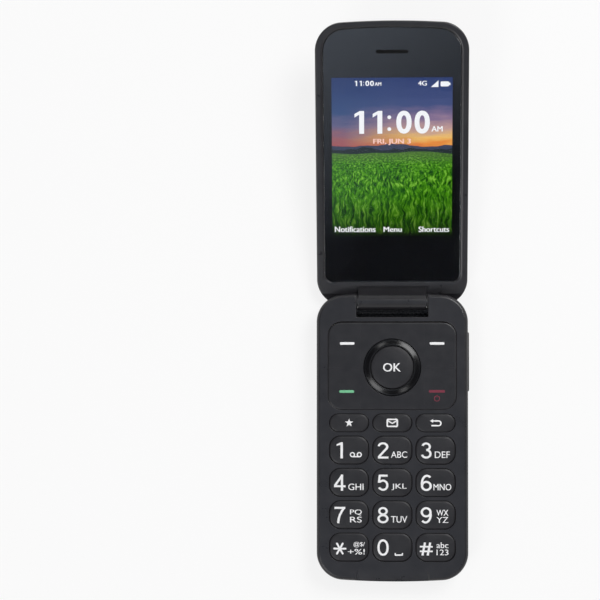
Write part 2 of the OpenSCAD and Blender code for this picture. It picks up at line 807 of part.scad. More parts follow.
// Inner lens outline: small corners by the hinge, large ones at the far end
module lens_outline(grow) {
    translate([0, lens_y]) {
        intersection() {
            union() {
                translate([0, lens_l / 4]) rounded_rect(lens_w + 2 * grow,
                    lens_l / 2 + 2 * grow, lens_r_low);
                translate([0, -lens_l / 4]) rounded_rect(lens_w + 2 * grow,
                    lens_l / 2 + 2 * grow, lens_r_far);
                square([lens_w + 2 * grow, lens_l / 2], center = true);
            }
            // The far end bows like the outline of the phone
            bow_r = (pow(lens_w / 2, 2) + end_bow * end_bow) / (2 * end_bow);
            union() {
                translate([0, -lens_l / 2 - grow + bow_r]) circle(bow_r);
                translate([0, lens_l / 4]) square([body_w, lens_l], center = true);
            }
        }
    }
}

// Cross-section of the web that carries the barrel, about the hinge axis, lid closed
module web_section() {
    rise = lid_z - hinge_z;
    reach = norm([web_reach, rise]);
    turn = atan2(rise, -web_reach) + acos(barrel_r / reach);
    circle(barrel_r);
    polygon([[-web_reach, rise], [barrel_r * cos(turn), barrel_r * sin(turn)], [0, 0],
        [barrel_r, 0], [barrel_r, rise], [barrel_r - 0.3, rise + frame_t * 0.6],
        [-web_reach, rise + frame_t * 0.6]]);
}

module lid_inner_frame() {
    color("#333336") lid_pose() difference() {
        union() {
            difference() {
                shell_solid(frame_levels());
                knuckle_relief();
                // Groove at the foot of the web
                block(barrel_l + 1.8, 0.4, lid_z - cut, lid_z + 0.45, 0, lid_y(web_reach + 0.25));
            }
            at_hinge() along_x(-barrel_l / 2, barrel_l / 2) web_section();
        }
        // Pocket for the inner lens
        translate([0, 0, lid_z - cut]) linear_extrude(lens_z1 + 0.05 - lid_z + cut)
            lens_outline(lens_gap);
        // Opening for the display and the earpiece
        intersection() {
            translate([0, 0, lid_z]) linear_extrude(frame_t + cut) lens_outline(-lens_ledge);
            block(lens_w, body_l, lid_z, split_z + cut, 0, lid_y(room_from) - body_l / 2);
        }
        at_hinge() rod_x(cam_r + fit_gap, -barrel_l / 2 - cut, barrel_l / 2 + cut);
        flex_slot();
    }
}

flex_gap = 1.3;
flex_w = barrel_l - cam_l - bush_l - 2 * flex_gap;
flex_x = -barrel_l / 2 + cam_l + flex_gap + flex_w / 2;

// Way for the flat cable out of the barrel into the lid
module flex_slot() {
    block(flex_w + 0.4, 1.2, hinge_z, split_z + cut, flex_x, hinge_y);
}

module lid_outer_shell() {
    color("#2c2c2f") lid_pose() difference() {
        shell_solid(outer_levels());
        shell_solid(lid_room_levels());
        // Outer lens: pocket and window
        plate(window_w + 2 * lens_gap, window_l + 2 * lens_gap, window_r + lens_gap,
            top_z - window_t - 0.05, top_z + cut, 0, lid_y(window_at));
        plate(window_w - 2 * window_ledge, window_l - 2 * window_ledge, window_r - 1,
            split_z, top_z, 0, lid_y(window_at));
        // Camera: seat of the ring and the hole below it
        translate([0, lid_y(camera_at), top_z - 0.6]) cylinder(r = camera_ring_r + 0.04, h = 2);
        translate([0, lid_y(camera_at), split_z]) cylinder(r = camera_hole_r, h = lid_t);
        table_relief();
    }
}

camera_hole_r = 3.4;

module main_lens() {
    color("#0c0f13") lid_pose() difference() {
        translate([0, 0, lens_z0]) linear_extrude(lens_t) lens_outline(0);
        plate(earpiece_slot_w, earpiece_slot_h, earpiece_slot_h / 2 - 0.01, lens_z0 - cut,
            lens_z1 + cut, 0, lid_y(earpiece_at));
    }
}

module main_display() {
    color("#43566b") lid_pose() plate(display_w, display_l, 0.8, display_z,
        display_z + display_t, 0, lid_y(display_from + display_l / 2));
}

lid_board_w = display_w - 7.4;
lid_board_l = display_l - 4;
lid_board_from = display_from - 3;
notch_w = 9;
notch_l = 8;

module lid_board() {
    color("#1f5136") lid_pose() difference() {
        plate(lid_board_w, lid_board_l, 2, lid_board_z, lid_board_z + lid_board_t, 0,
            lid_y(lid_board_from + lid_board_l / 2));
        // Notch for the end of the flat cable
        block(notch_w, notch_l, lid_z, top_z, notch_w, lid_y(lid_board_from));
    }
}

module outer_lens() {
    color("#0c0f13") lid_pose() plate(window_w, window_l, window_r, top_z - window_t,
        top_z - 0.02, 0, lid_y(window_at));
}

module outer_display() {
    color("#43566b") lid_pose() plate(outer_display_w, outer_display_l, 0.6, outer_display_z,
        outer_display_z + outer_display_t, 0, lid_y(window_at));
}

earpiece_l = 6;
earpiece_t = 2.8;

module earpiece() {
    color("#26262a") lid_pose() plate(earpiece_slot_w + 0.4, earpiece_l, 1.4, display_z + 0.6,
        display_z + earpiece_t, 0, lid_y(earpiece_at));
}

module earpiece_mesh() {
    color("#55585c") lid_pose() plate(earpiece_slot_w + 0.8, earpiece_slot_h + 0.8, 0.9,
        lens_z1 + 0.02, display_z + 0.55, 0, lid_y(earpiece_at));
}

module camera_module() {
    color("#1d1d20") lid_pose() {
        block(camera_w, camera_w, split_z + 0.1, outer_in - 0.05, 0, lid_y(camera_at));
        translate([0, lid_y(camera_at), 0]) rotate_extrude() polygon([[0, outer_in - 0.2],
            [camera_hole_r - 0.2, outer_in - 0.2], [camera_hole_r - 0.2, top_z - 0.75],
            [1.6, top_z - 0.75], [1.3, top_z - 1], [0, top_z - 1]]);
    }
}

module camera_ring() {
    r = camera_ring_r;
    w = camera_ring_w;
    color("#9a9da2") lid_pose() translate([0, lid_y(camera_at), 0]) rotate_extrude()
        polygon([[r - w, top_z - 0.58], [r, top_z - 0.58], [r, top_z + 0.02],
            [r - 0.12, top_z + 0.1], [r - w + 0.12, top_z + 0.1], [r - w, top_z - 0.05]]);
}

module camera_window() {
    color("#0c0f13") lid_pose() translate([0, lid_y(camera_at), top_z - 0.58])
        cylinder(r = camera_ring_r - camera_ring_w - 0.03, h = 0.45);
}

magnet_w = 6;
magnet_side = 7.5;

module lid_magnet() {
    color("#a9adb3") lid_pose() plate(magnet_w, magnet_w / 2, 0.4, split_z + 0.3, split_z + 1.8,
        lens_w / 2 - magnet_side, lid_y(earpiece_at - 1));
}

// ---- Hinge parts in the lid's barrel ----

module hinge_cam() {
    color("#8d9096") lid_pose() at_hinge() difference() {
        rod_x(cam_r, -barrel_l / 2 + 0.1, -barrel_l / 2 + cam_l);
        rod_x(shaft_r + run_gap, -barrel_l / 2 - cut, -barrel_l / 2 + cam_l / 2 + 0.4);
    }
}

module hinge_bush() {
    color("#c9a14a") lid_pose() at_hinge() difference() {
        rod_x(cam_r, barrel_l / 2 - bush_l, barrel_l / 2 - 0.1);
        rod_x(pin_r + run_gap, 0, barrel_l);
    }
}

module hinge_flex() {
    // Flat cable: rolled once in the barrel, then up into the lid
    color("#b8742c") lid_pose() {
        at_hinge() difference() {
            rod_x(cam_r - 0.3, flex_x - flex_w / 2, flex_x + flex_w / 2);
            rod_x(cam_r - 0.5, flex_x - flex_w, flex_x + flex_w);
            block(2 * flex_w, 2 * cam_r, 0, cam_r, flex_x, -cam_r);
        }
        block(flex_w, 0.2, hinge_z + cam_r - 0.5, split_z + 0.6, flex_x, hinge_y - 0.1);
        block(flex_w, 6, split_z + 0.4, split_z + 0.6, flex_x, hinge_y - 3);
    }
}

// ---- Keys ----

plunger_z = dome_top + key_travel + 0.05;
flange_top = front_in - 0.1;

module crowned(top, x, y) {
    // The crown is cut from a large ball over the middle of the key
    intersection() {
        translate([x, y, 0]) children();
        translate([x, y, top - key_crown]) sphere(r = key_crown, $fn = 256);
    }
}

module key(w, h, r, x, y) {
    color("#343437") {
        crowned(base_t + key_proud, x, y) plate(w, h, r, flange_top - 0.1, base_t + 2);
        plate(w + 2 * key_flange, h + 2 * key_flange, r, flange_top - key_flange_t, flange_top, x, y);
        translate([x, y, plunger_z]) cylinder(r = plunger_r, h = flange_top - plunger_z);
    }
}

module number_key(i) {
    key(key_w, key_h, key_r, key_xy(i).x, key_xy(i).y);
}

module function_key(i) {
    key(key_w, function_key_h, function_key_r, function_xy(i).x, function_xy(i).y);
}

module corner_key(sx, sy) {
    top = base_t - 0.05;
    color("#343437") {
        translate([0, 0, flange_top - 0.1]) linear_extrude(top - flange_top + 0.1)
            panel_part(sx, sy, 0);
        translate([0, 0, flange_top - key_flange_t]) linear_extrude(key_flange_t)
            panel_part(sx, sy, key_flange);
        translate([sx * soft_key_x, ring_y + sy * soft_key_y, plunger_z])
            cylinder(r = plunger_r, h = flange_top - plunger_z);
    }
}

// The part of the panel that one corner key takes
module panel_part(sx, sy, grow) {
    intersection() {
        translate([0, panel_y]) rounded_rect(panel_w + 2 * grow, panel_h + 2 * grow, panel_r);
        translate([sx > 0 ? strip_half : -strip_half - half_w,
            sy > 0 ? ring_y + key_gap / 2 : ring_y - key_gap / 2 - panel_h])
            square([half_w, panel_h]);
    }
}

ring_flange = 0.4;
ring_flange_t = 0.25;
// How far the ring's flange rises or sinks when it tips both ways at once
ring_rock = (ring_r + ring_flange) * sin(ring_tilt) * sqrt(2) + 0.03;
strip_z = front_in + 0.2;
ring_skirt_z = strip_z - ring_rock - ring_flange_t;
rocker_top = ring_skirt_z - ring_rock - 0.05;
rocker_t = 0.5;
rocker_foot = 8.4;
ok_r = ring_r - ring_w - key_gap;
ok_flange_r = ok_r + 0.4;

module nav_strip() {
    color("#343437") difference() {
        union() {
            intersection() {
                plate(panel_w, panel_h, panel_r, strip_z, base_t - 0.05, 0, panel_y);
                block(2 * strip_half - 2 * key_gap, body_l, 0, base_t + cut);
            }
            for (s = [-1, 1]) block(2 * strip_half - 2 * key_gap, 2, flange_top - key_flange_t,
                front_in - 0.02, 0, panel_y + s * (panel_h / 2 + key_flange - 1));
            for (s = [-1, 1]) block(2 * strip_half - 2 * key_gap, 1.4, front_in - 0.1,
                strip_z + 0.1, 0, panel_y + s * (panel_h / 2 - 0.8));
        }
        translate([0, ring_y, 0]) cylinder(r = ring_r + key_gap + 0.03, h = base_t + cut);
    }
}

module nav_ring() {
    ri = ring_r - ring_w;
    top = base_t + key_proud;
    color("#19191b") translate([0, ring_y, 0]) rotate_extrude() difference() {
        union() {
            // Skirt and its flange
            translate([ring_r - 1.2, ring_skirt_z]) square([1.2, top - ring_skirt_z - 0.7]);
            translate([ring_r - 1.2, ring_skirt_z]) square([1.2 + ring_flange, ring_flange_t]);
            // Inner part over the middle key's flange
            translate([ri, front_in + 0.45]) square([ring_w, top - front_in - 0.45 - 0.7]);
            // Rounded top
            intersection() {
                translate([ri, top - 1]) square([ring_w, 1]);
                translate([ri + ring_w / 2, top - 1.4]) circle(1.4);
            }
        }
    }
}

module nav_rocker() {
    color("#77797d") translate([0, ring_y, 0]) {
        difference() {
            translate([0, 0, rocker_top - rocker_t]) cylinder(r = ring_r - 0.2, h = rocker_t);
            translate([0, 0, rocker_top - rocker_t - cut]) cylinder(r = 3.4, h = rocker_t + 2 * cut);
        }
        for (a = [0 : 90 : 270]) rotate([0, 0, a]) translate([rocker_foot, 0, plunger_z - 0.05])
            cylinder(r = 0.9, h = rocker_top - rocker_t / 2 - plunger_z);
    }
}

module ok_key() {
    top = base_t + key_proud - 0.05;
    color("#343437") translate([0, ring_y, 0]) {
        intersection() {
            translate([0, 0, front_in - 0.15]) cylinder(r = ok_r, h = 3);
            translate([0, 0, top - key_crown]) sphere(r = key_crown, $fn = 256);
        }
        translate([0, 0, front_in - 0.15]) cylinder(r = ok_flange_r, h = 0.35);
        translate([0, 0, plunger_z]) cylinder(r = plunger_r, h = front_in - plunger_z);
    }
}

module volume_key() {
    x1 = half_w + side_key_proud;
    x0 = side_in - rock_room;
    color("#2f2f32") {
        intersection() {
            translate([x0 - 0.2, side_y, side_z]) rotate([90, 0, 90])
                linear_extrude(x1 - x0 + 0.2) rounded_rect(side_key_l, side_key_h, side_key_h / 2 - 0.1);
            // The long edges round off
            translate([x1 - 3, side_y + side_key_l, side_z]) rotate([90, 0, 0])
                cylinder(r = 3, h = 2 * side_key_l);
        }
        translate([x0 - side_flange_t, side_y - side_key_l / 2 - 0.4, side_z - side_key_h / 2 - 0.4])
            cube([side_flange_t, side_key_l + 0.8, side_key_h + 0.8]);
    }
}

front_housing();
rear_housing();
battery_cover();
battery();
battery_contacts();
main_board();
shield_can();
dome_sheet();
nav_strip();
loudspeaker();
microphone();
vibration_motor();
card_holder();
usb_socket();
headset_jack();
antenna();
side_switch();
case_screws();
hinge_pin();
hinge_shaft();
lid_inner_frame();
lid_outer_shell();
main_lens();
main_display();
lid_board();
outer_lens();
outer_display();
earpiece();
earpiece_mesh();
camera_module();
camera_ring();
camera_window();
hinge_cam();
hinge_bush();
hinge_flex();
lid_magnet();
for (i = [0 : 11])
    number_key(i);
function_key(0);  // key_favourite
function_key(1);  // key_message
function_key(2);  // key_back
corner_key(-1, 1);  // key_soft_left
corner_key(1, 1);  // key_soft_right
corner_key(-1, -1);  // key_send
corner_key(1, -1);  // key_end
nav_rocker();
nav_ring();
ok_key();
volume_key();
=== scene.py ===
"""Dresses the folding phone: smooth shells, legends, lenses, displays, light and camera.

Forms are drawn in millimetres as in the part's source, with the lid closed over the base.
settle() swings the lid's forms open and turns millimetres into metres.
"""

import math

import bmesh
import bpy
from mathutils import Matrix, Vector


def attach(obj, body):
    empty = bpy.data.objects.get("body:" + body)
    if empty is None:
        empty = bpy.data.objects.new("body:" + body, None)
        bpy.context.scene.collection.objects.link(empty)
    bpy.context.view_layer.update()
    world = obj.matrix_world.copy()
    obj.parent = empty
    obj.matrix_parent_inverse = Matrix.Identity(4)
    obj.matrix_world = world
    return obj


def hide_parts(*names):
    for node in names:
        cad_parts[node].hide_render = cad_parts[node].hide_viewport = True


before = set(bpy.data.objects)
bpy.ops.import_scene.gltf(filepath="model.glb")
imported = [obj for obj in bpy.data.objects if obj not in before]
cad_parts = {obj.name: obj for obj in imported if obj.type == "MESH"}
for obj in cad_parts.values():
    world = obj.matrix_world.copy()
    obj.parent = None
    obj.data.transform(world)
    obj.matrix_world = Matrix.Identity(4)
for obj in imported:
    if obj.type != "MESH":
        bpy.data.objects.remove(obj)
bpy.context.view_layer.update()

MM = 0.001

# The phone, as in the part's source
BODY_W, BODY_L, BASE_T = 55.1, 105.0, 11.9
HALF_W, HALF_L = BODY_W / 2, BODY_L / 2
CORNER_R, END_BOW = 9.2, 1.3
BASE_SPLIT, FRONT_EDGE, WALL, FRONT_WALL = 6.0, 1.4, 1.3, 1.6
BACK_ROUND_W, BACK_ROUND_H, REAR_EDGE = 5.5, 4.5, 1.6
BARREL_R, BARREL_L, SLOT_HALF, SLOT_REACH = 3.1, 25.0, 13.05, 5.65
HINGE_Y, HINGE_Z = 49.4, 8.8
LID_Z, SPLIT_Z, TOP_Z = 12.3, 13.9, 18.7
LID_ROUND_W, HEEL_ROUND, LID_BEVEL = 7.0, 9.0, 0.5
OPEN_ANGLE = math.radians(165)
REAR_END = HINGE_Y - 3.0
FRONT_IN = BASE_T - FRONT_WALL
CAVITY_END = HINGE_Y - SLOT_REACH - WALL
FLOOR_T = 2.2

HINGE = Vector((0, HINGE_Y, HINGE_Z))
OPENED = (Matrix.Translation(HINGE) @ Matrix.Rotation(-OPEN_ANGLE, 4, "X")
          @ Matrix.Translation(-HINGE))


def lid_y(distance):
    """Place along the closed lid at a distance from the hinge axis."""
    return HINGE_Y - distance


# ---- Outlines and forms ----

def outline(x0, x1, y0, y1, radii, grow=0.0, steps=10):
    """A rectangle with its own radius at each corner, anticlockwise, grown on every side."""
    points = []
    for q, (sx, sy) in enumerate(((1, 1), (-1, 1), (-1, -1), (1, -1))):
        r = max(radii[q] + grow, 0.005)
        cx = (x1 + grow - r) if sx > 0 else (x0 - grow + r)
        cy = (y1 + grow - r) if sy > 0 else (y0 - grow + r)
        for i in range(steps + 1):
            a = math.radians(90 * (q + i / steps))
            points.append((cx + r * math.cos(a), cy + r * math.sin(a)))
    return points


def rounded(w, l, r, x=0.0, y=0.0, grow=0.0, steps=10):
    return outline(x - w / 2, x + w / 2, y - l / 2, y + l / 2, (r, r, r, r), grow, steps)


def circle(r, x=0.0, y=0.0, steps=96):
    return [(x + r * math.cos(2 * math.pi * i / steps), y + r * math.sin(2 * math.pi * i / steps))
            for i in range(steps)]


def body_ring(z, side, hinge=None, far=None, clip=1000.0, corner_steps=24, end_steps=24):
    """The phone's outline at one height, drawn in at the sides and at the two ends."""
    hinge = side if hinge is None else hinge
    far = side if far is None else far
    points = []
    for q, (sx, sy) in enumerate(((1, 1), (-1, 1), (-1, -1), (1, -1))):
        end = hinge if sy > 0 else far
        for i in range(corner_steps + 1):
            a = math.radians(90 * (q + i / corner_steps))
            points.append((sx * (HALF_W - CORNER_R) + (CORNER_R - side) * math.cos(a),
                           sy * (HALF_L - CORNER_R) + (CORNER_R - end) * math.sin(a)))
        if q in (0, 2):
            for i in range(1, end_steps):
                x = sx * (HALF_W - CORNER_R) * (1 - 2 * i / end_steps)
                points.append((x, sy * (HALF_L - end)))
    return [(x, min(clip, y - math.copysign(END_BOW * (x / HALF_W) ** 2, y)), z)
            for x, y in points]


def at(z, points):
    return [(x, y, z) for x, y in points]


def quarter(steps=6):
    """Shares of a quarter round: how far it draws in and how far it rises."""
    return [(1 - math.cos(math.radians(90 * i / steps)), math.sin(math.radians(90 * i / steps)))
            for i in range(steps + 1)]


def loft(rings, closed_ends=True):
    """A form through rings that all have the same number of points."""
    bm = bmesh.new()
    made = [[bm.verts.new(p) for p in ring] for ring in rings]
    for a, b in zip(made, made[1:]):
        for i in range(len(a)):
            j = (i + 1) % len(a)
            bm.faces.new((a[i], a[j], b[j], b[i]))
    if closed_ends:
        bm.faces.new(list(reversed(made[0])))
        bm.faces.new(made[-1])
    bmesh.ops.remove_doubles(bm, verts=bm.verts, dist=1e-5)
    bmesh.ops.recalc_face_normals(bm, faces=bm.faces)
    return bm


def lathe(profile, x=0.0, y=0.0, steps=96):
    """A closed profile of radius and height, turned about a vertical line."""
    rings = [at(z, circle(max(r, 1e-4), x, y, steps)) for r, z in profile]
    bm = loft(rings + [rings[0]], closed_ends=False)
    return bm


def prism_x(profile, x0, x1):
    """A profile in Y and Z, from x0 to x1."""
    return loft([[(x0, y, z) for y, z in profile], [(x1, y, z) for y, z in profile]])


def rod_x(r, x0, x1, y, z, steps=72):
    return prism_x([(y + c, z + s) for c, s in circle(r, steps=steps)], x0, x1)


def rod_y(r, y0, y1, x, z, steps=32):
    ring = circle(r, steps=steps)
    return loft([[(x + c, y0, z + s) for c, s in ring], [(x + c, y1, z + s) for c, s in ring]])


def brick(x0, x1, y0, y1, z0, z1):
    return loft([at(z0, outline(x0, x1, y0, y1, (0.001,) * 4, steps=1)),
                 at(z1, outline(x0, x1, y0, y1, (0.001,) * 4, steps=1))])


def merged(*forms):
    """Several forms in one mesh."""
    whole = bmesh.new()
    for form in forms:
        part = bpy.data.meshes.new("part")
        form.to_mesh(part)
        form.free()
        whole.from_mesh(part)
        bpy.data.meshes.remove(part)
    return whole


def plate(ring, z0, z1, edge=0.0, lower_edge=0.0, depth=None, steps=5):
    """A flat plate. ring(grow) is its outline; its upper and lower edges are rounded."""
    rings = []
    depth = edge if depth is None else depth
    for draw, rise in reversed(quarter(steps)) if lower_edge else ():
        rings.append(at(z0 + lower_edge * (1 - rise), ring(-lower_edge * draw)))
    if not lower_edge:
        rings.append(at(z0, ring(0)))
    if edge:
        for draw, rise in quarter(steps):
            rings.append(at(z1 - depth + depth * rise, ring(-edge * draw)))
    else:
        rings.append(at(z1, ring(0)))
    return loft(rings)


def flared(ring, z0, surface, edge, depth=None, beyond=1.0, steps=5):
    """A cutter that leaves a rounded edge where it comes out at the surface."""
    way = 1 if surface > z0 else -1
    depth = edge if depth is None else depth
    rings = [at(z0, ring(0))]
    for draw, rise in quarter(steps):
        rings.append(at(surface - way * depth * (1 - rise) + way * 0.002, ring(edge * draw)))
    rings.append(at(surface + way * beyond, ring(edge)))
    return loft(rings)


def crown_height(top, radius, x, y):
    return top - (radius - math.sqrt(radius * radius - x * x - y * y))


def draft(name, form):
    """A form as an object, still in millimetres."""
    mesh = bpy.data.meshes.new(name)
    form.to_mesh(mesh)
    form.free()
    thing = bpy.data.objects.new(name, mesh)
    bpy.context.scene.collection.objects.link(thing)
    return thing


def carve(thing, *forms, operation="DIFFERENCE"):
    """Cuts the forms out of the thing, or joins or keeps what they share with it."""
    tools = [draft("tool", form) for form in forms]
    for tool in tools:
        step = thing.modifiers.new("carve", "BOOLEAN")
        step.operation, step.solver, step.object = operation, "EXACT", tool
    bpy.context.view_layer.update()
    seen = thing.evaluated_get(bpy.context.evaluated_depsgraph_get())
    mesh = bpy.data.meshes.new_from_object(seen)
    thing.modifiers.clear()
    thing.data = mesh
    for tool in tools:
        old = tool.data
        bpy.data.objects.remove(tool)
        bpy.data.meshes.remove(old)
    return thing


def settle(thing, body, finish, stands_for=(), sharp=38.0):
    """Puts a finished form in its place, in metres, on its body, with its finish."""
    if isinstance(thing, tuple):
        thing = draft(*thing)
    mesh = thing.data
    if body == "lid":
        mesh.transform(OPENED)
    mesh.transform(Matrix.Scale(MM, 4))
    mesh.materials.clear()
    mesh.materials.append(finish)
    for face in mesh.polygons:
        face.use_smooth = True
        face.material_index = 0
    mesh.set_sharp_from_angle(angle=math.radians(sharp))
    weigh = thing.modifiers.new("even normals", "WEIGHTED_NORMAL")
    weigh.keep_sharp = True
    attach(thing, body)
    if stands_for:
        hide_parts(*stands_for)
    return thing


# ---- Shader tools ----

class Bench:
    """Adds nodes to a tree and joins them."""

    def __init__(self, tree):
        self.tree = tree

    def put(self, kind, values=None, **settings):
        node = self.tree.nodes.new(kind)
        for name, value in settings.items():
            setattr(node, name, value)
        for name, value in (values or {}).items():
            socket = node.inputs[name]
            if isinstance(value, bpy.types.NodeSocket):
                self.tree.links.new(value, socket)
            else:
                socket.default_value = value
        return node

    def calc(self, operation, *values):
        return self.put("ShaderNodeMath", dict(enumerate(values)), operation=operation).outputs[0]

    def spread(self, value, low, high, new_low=0.0, new_high=1.0):
        return self.put("ShaderNodeMapRange", {
            "Value": value, "From Min": low, "From Max": high,
            "To Min": new_low, "To Max": new_high}).outputs[0]

    def blend(self, share, a, b, kind="RGBA", blend_type="MIX"):
        node = self.put("ShaderNodeMix", data_type=kind)
        if kind == "RGBA":
            node.blend_type = blend_type
        first = {"RGBA": 6, "FLOAT": 2}[kind]
        for index, value in ((0, share), (first, a), (first + 1, b)):
            if isinstance(value, bpy.types.NodeSocket):
                self.tree.links.new(value, node.inputs[index])
            else:
                node.inputs[index].default_value = value
        return node.outputs[{"RGBA": 2, "FLOAT": 0}[kind]]

    def ramp(self, value, stops):
        node = self.put("ShaderNodeValToRGB", {"Fac": value})
        row = node.color_ramp.elements
        while len(row) < len(stops):
            row.new(0.5)
        for element, (place, colour) in zip(row, stops):
            element.position, element.color = place, colour
        return node.outputs[0]


def effect(name, inputs, outputs, make):
    """A shader node group that several finishes share."""
    tree = bpy.data.node_groups.new(name, "ShaderNodeTree")
    for label, kind, value in inputs:
        socket = tree.interface.new_socket(label, in_out="INPUT", socket_type=kind)
        if value is not None:
            socket.default_value = value
    for label, kind in outputs:
        tree.interface.new_socket(label, in_out="OUTPUT", socket_type=kind)
    bench = Bench(tree)
    source = bench.put("NodeGroupInput")
    result = make(bench, source)
    end = bench.put("NodeGroupOutput")
    for label, value in result.items():
        tree.links.new(value, end.inputs[label])
    return tree


def make_grain(b, source):
    """The fine grain of a moulding's skin, and a drift of its tone over some millimetres."""
    place, scale = source.outputs["Vector"], source.outputs["Scale"]
    fine = b.put("ShaderNodeTexNoise", {"Vector": place, "Scale": scale, "Detail": 3.0, "Roughness": 0.6})
    broad_scale = b.calc("MULTIPLY", scale, 0.04)
    broad = b.put("ShaderNodeTexNoise", {"Vector": place, "Scale": broad_scale, "Detail": 4.0})
    return {"Height": fine.outputs[0], "Mottle": b.spread(broad.outputs[0], 0.3, 0.7)}


def make_ridges(b, source):
    """Fine ridges that cross each other on the diagonal, in the plane of X and Y, with a share that paints
    their crests lighter: painted light.
    """
    place = b.put("ShaderNodeSeparateXYZ", {"Vector": source.outputs["Vector"]})
    turn = b.calc("DIVIDE", 2 * math.pi, source.outputs["Pitch"])
    waves = []
    for way in ("ADD", "SUBTRACT"):
        along = b.calc("MULTIPLY", b.calc(way, place.outputs[0], place.outputs[1]), turn)
        waves.append(b.spread(b.calc("SINE", along), -1.0, 1.0))
    height = b.calc("MULTIPLY", waves[0], waves[1])
    return {"Height": height, "Painted Crest Light": b.spread(height, 0.25, 0.85)}


def make_rubbing(b, source):
    """Where hands rub a moulding smooth: its outer edges, in broken patches."""
    edge = b.spread(b.put("ShaderNodeNewGeometry").outputs["Pointiness"], 0.52, 0.62)
    patches = b.put("ShaderNodeTexNoise", {"Vector": source.outputs["Vector"], "Scale": 160.0,
                                           "Detail": 5.0})
    mask = b.calc("MULTIPLY", edge, b.spread(patches.outputs[0], 0.35, 0.65))
    return {"Mask": b.calc("MULTIPLY", mask, source.outputs["Amount"])}


VECTOR, FLOAT = "NodeSocketVector", "NodeSocketFloat"
GRAIN = effect("moulded grain", [("Vector", VECTOR, None), ("Scale", FLOAT, 5000.0)],
               [("Height", FLOAT), ("Mottle", FLOAT)], make_grain)
RIDGES = effect("crossed ridges", [("Vector", VECTOR, None), ("Pitch", FLOAT, 0.0014)],
                [("Height", FLOAT), ("Painted Crest Light", FLOAT)], make_ridges)
RUBBING = effect("rubbed edges", [("Vector", VECTOR, None), ("Amount", FLOAT, 0.5)],
                 [("Mask", FLOAT)], make_rubbing)


def new_finish(name):
    finish = bpy.data.materials.new(name)
    finish.use_nodes = True
    tree = finish.node_tree
    shader = next(n for n in tree.nodes if n.type == "BSDF_PRINCIPLED")
    return finish, Bench(tree), shader


def moulded(name, colour, roughness, grain_scale=5000.0, grain_depth=0.00001, rub=0.4,
            mottle=0.12, specular=0.5, coat=0.0, metal=0.0, ridges=0.0, ridge_depth=0.0, on_lid=False):
    """A moulded or machined surface: its colour drifts, its grain catches the light, its edges wear. Where it
    has ridges, their crests get a painted highlight and the grooves painted shade.
    """
    finish, b, shader = new_finish(name)
    place = b.put("ShaderNodeTexCoord").outputs["Object"]
    grain = b.put("ShaderNodeGroup", node_tree=GRAIN)
    rubbed = b.put("ShaderNodeGroup", node_tree=RUBBING)
    for node in (grain, rubbed):
        b.tree.links.new(place, node.inputs["Vector"])
    grain.inputs["Scale"].default_value = grain_scale
    rubbed.inputs["Amount"].default_value = rub
    darker = tuple(c * (1 - mottle) for c in colour) + (1,)
    lighter = tuple(c * (1 + mottle) for c in colour) + (1,)
    worn = tuple(min(1, c * 1.4 + 0.006) for c in colour) + (1,)
    tone = b.blend(grain.outputs["Mottle"], darker, lighter)
    tone = b.blend(rubbed.outputs["Mask"], tone, worn)
    rough = b.spread(grain.outputs["Mottle"], 0, 1, roughness * 0.9, min(1, roughness * 1.1))
    rough = b.calc("SUBTRACT", rough, b.calc("MULTIPLY", rubbed.outputs["Mask"], roughness * 0.3))
    bump = b.put("ShaderNodeBump", {"Height": grain.outputs["Height"], "Distance": grain_depth,
                                    "Strength": 1.0})
    if ridges:
        level = place
        if on_lid:
            level = b.put("ShaderNodeVectorRotate", {"Vector": place, "Angle": OPEN_ANGLE},
                          rotation_type="X_AXIS").outputs[0]
        cross = b.put("ShaderNodeGroup", {"Vector": level, "Pitch": ridges}, node_tree=RIDGES)
        # painted light: the ridge crests are painted lighter than the grooves between them, a painted
        # highlight on the crests and painted shade in the grooves
        tone = b.blend(b.calc("MULTIPLY", cross.outputs["Painted Crest Light"], 0.55), tone, lighter)
        bump = b.put("ShaderNodeBump", {"Height": cross.outputs["Height"], "Distance": ridge_depth,
                                        "Strength": 1.0, "Normal": bump.outputs[0]})
    b.tree.links.new(tone, shader.inputs["Base Color"])
    b.tree.links.new(rough, shader.inputs["Roughness"])
    b.tree.links.new(bump.outputs[0], shader.inputs["Normal"])
    shader.inputs["Specular IOR Level"].default_value = specular
    shader.inputs["Metallic"].default_value = metal
    shader.inputs["Coat Weight"].default_value = coat
    shader.inputs["Coat Roughness"].default_value = 0.06
    return finish


KEY_BLACK = (0.0135, 0.0130, 0.0155)
BACK_BLACK = (0.017, 0.017, 0.019)
RIDGE_PITCH, RIDGE_DEPTH = 0.00145, 0.00012

SATIN = moulded("satin black moulding", (0.0180, 0.0175, 0.0203), 0.30, rub=0.2, specular=0.4)
KNURLED = moulded("textured black moulding", BACK_BLACK, 0.40, rub=0.25, ridges=RIDGE_PITCH,
                  ridge_depth=RIDGE_DEPTH, on_lid=True)
KNURLED_BASE = moulded("textured black back", BACK_BLACK, 0.42, rub=0.25, ridges=RIDGE_PITCH,
                       ridge_depth=RIDGE_DEPTH)
KEYS = moulded("satin black keys", KEY_BLACK, 0.42, grain_scale=7000.0, rub=0.15, specular=0.35)
PANEL = moulded("satin black panel", KEY_BLACK, 0.38, grain_scale=7000.0, rub=0.0, specular=0.36)
RING_GLOSS = moulded("polished black ring", (0.006, 0.006, 0.007), 0.19, grain_depth=0.000001,
                     rub=0.0, specular=0.3)
LENS_PRINT = moulded("black print behind the lens", (0.0015, 0.0022, 0.004), 0.5, rub=0.0, specular=0.1)
STEEL = moulded("brushed steel", (0.50, 0.51, 0.52), 0.32, grain_scale=3000.0, metal=1.0)
RIM_STEEL = moulded("polished rim", (0.30, 0.31, 0.33), 0.16, grain_depth=0.000001, metal=1.0)
BRASS = moulded("turned brass", (0.55, 0.40, 0.16), 0.3, metal=1.0)
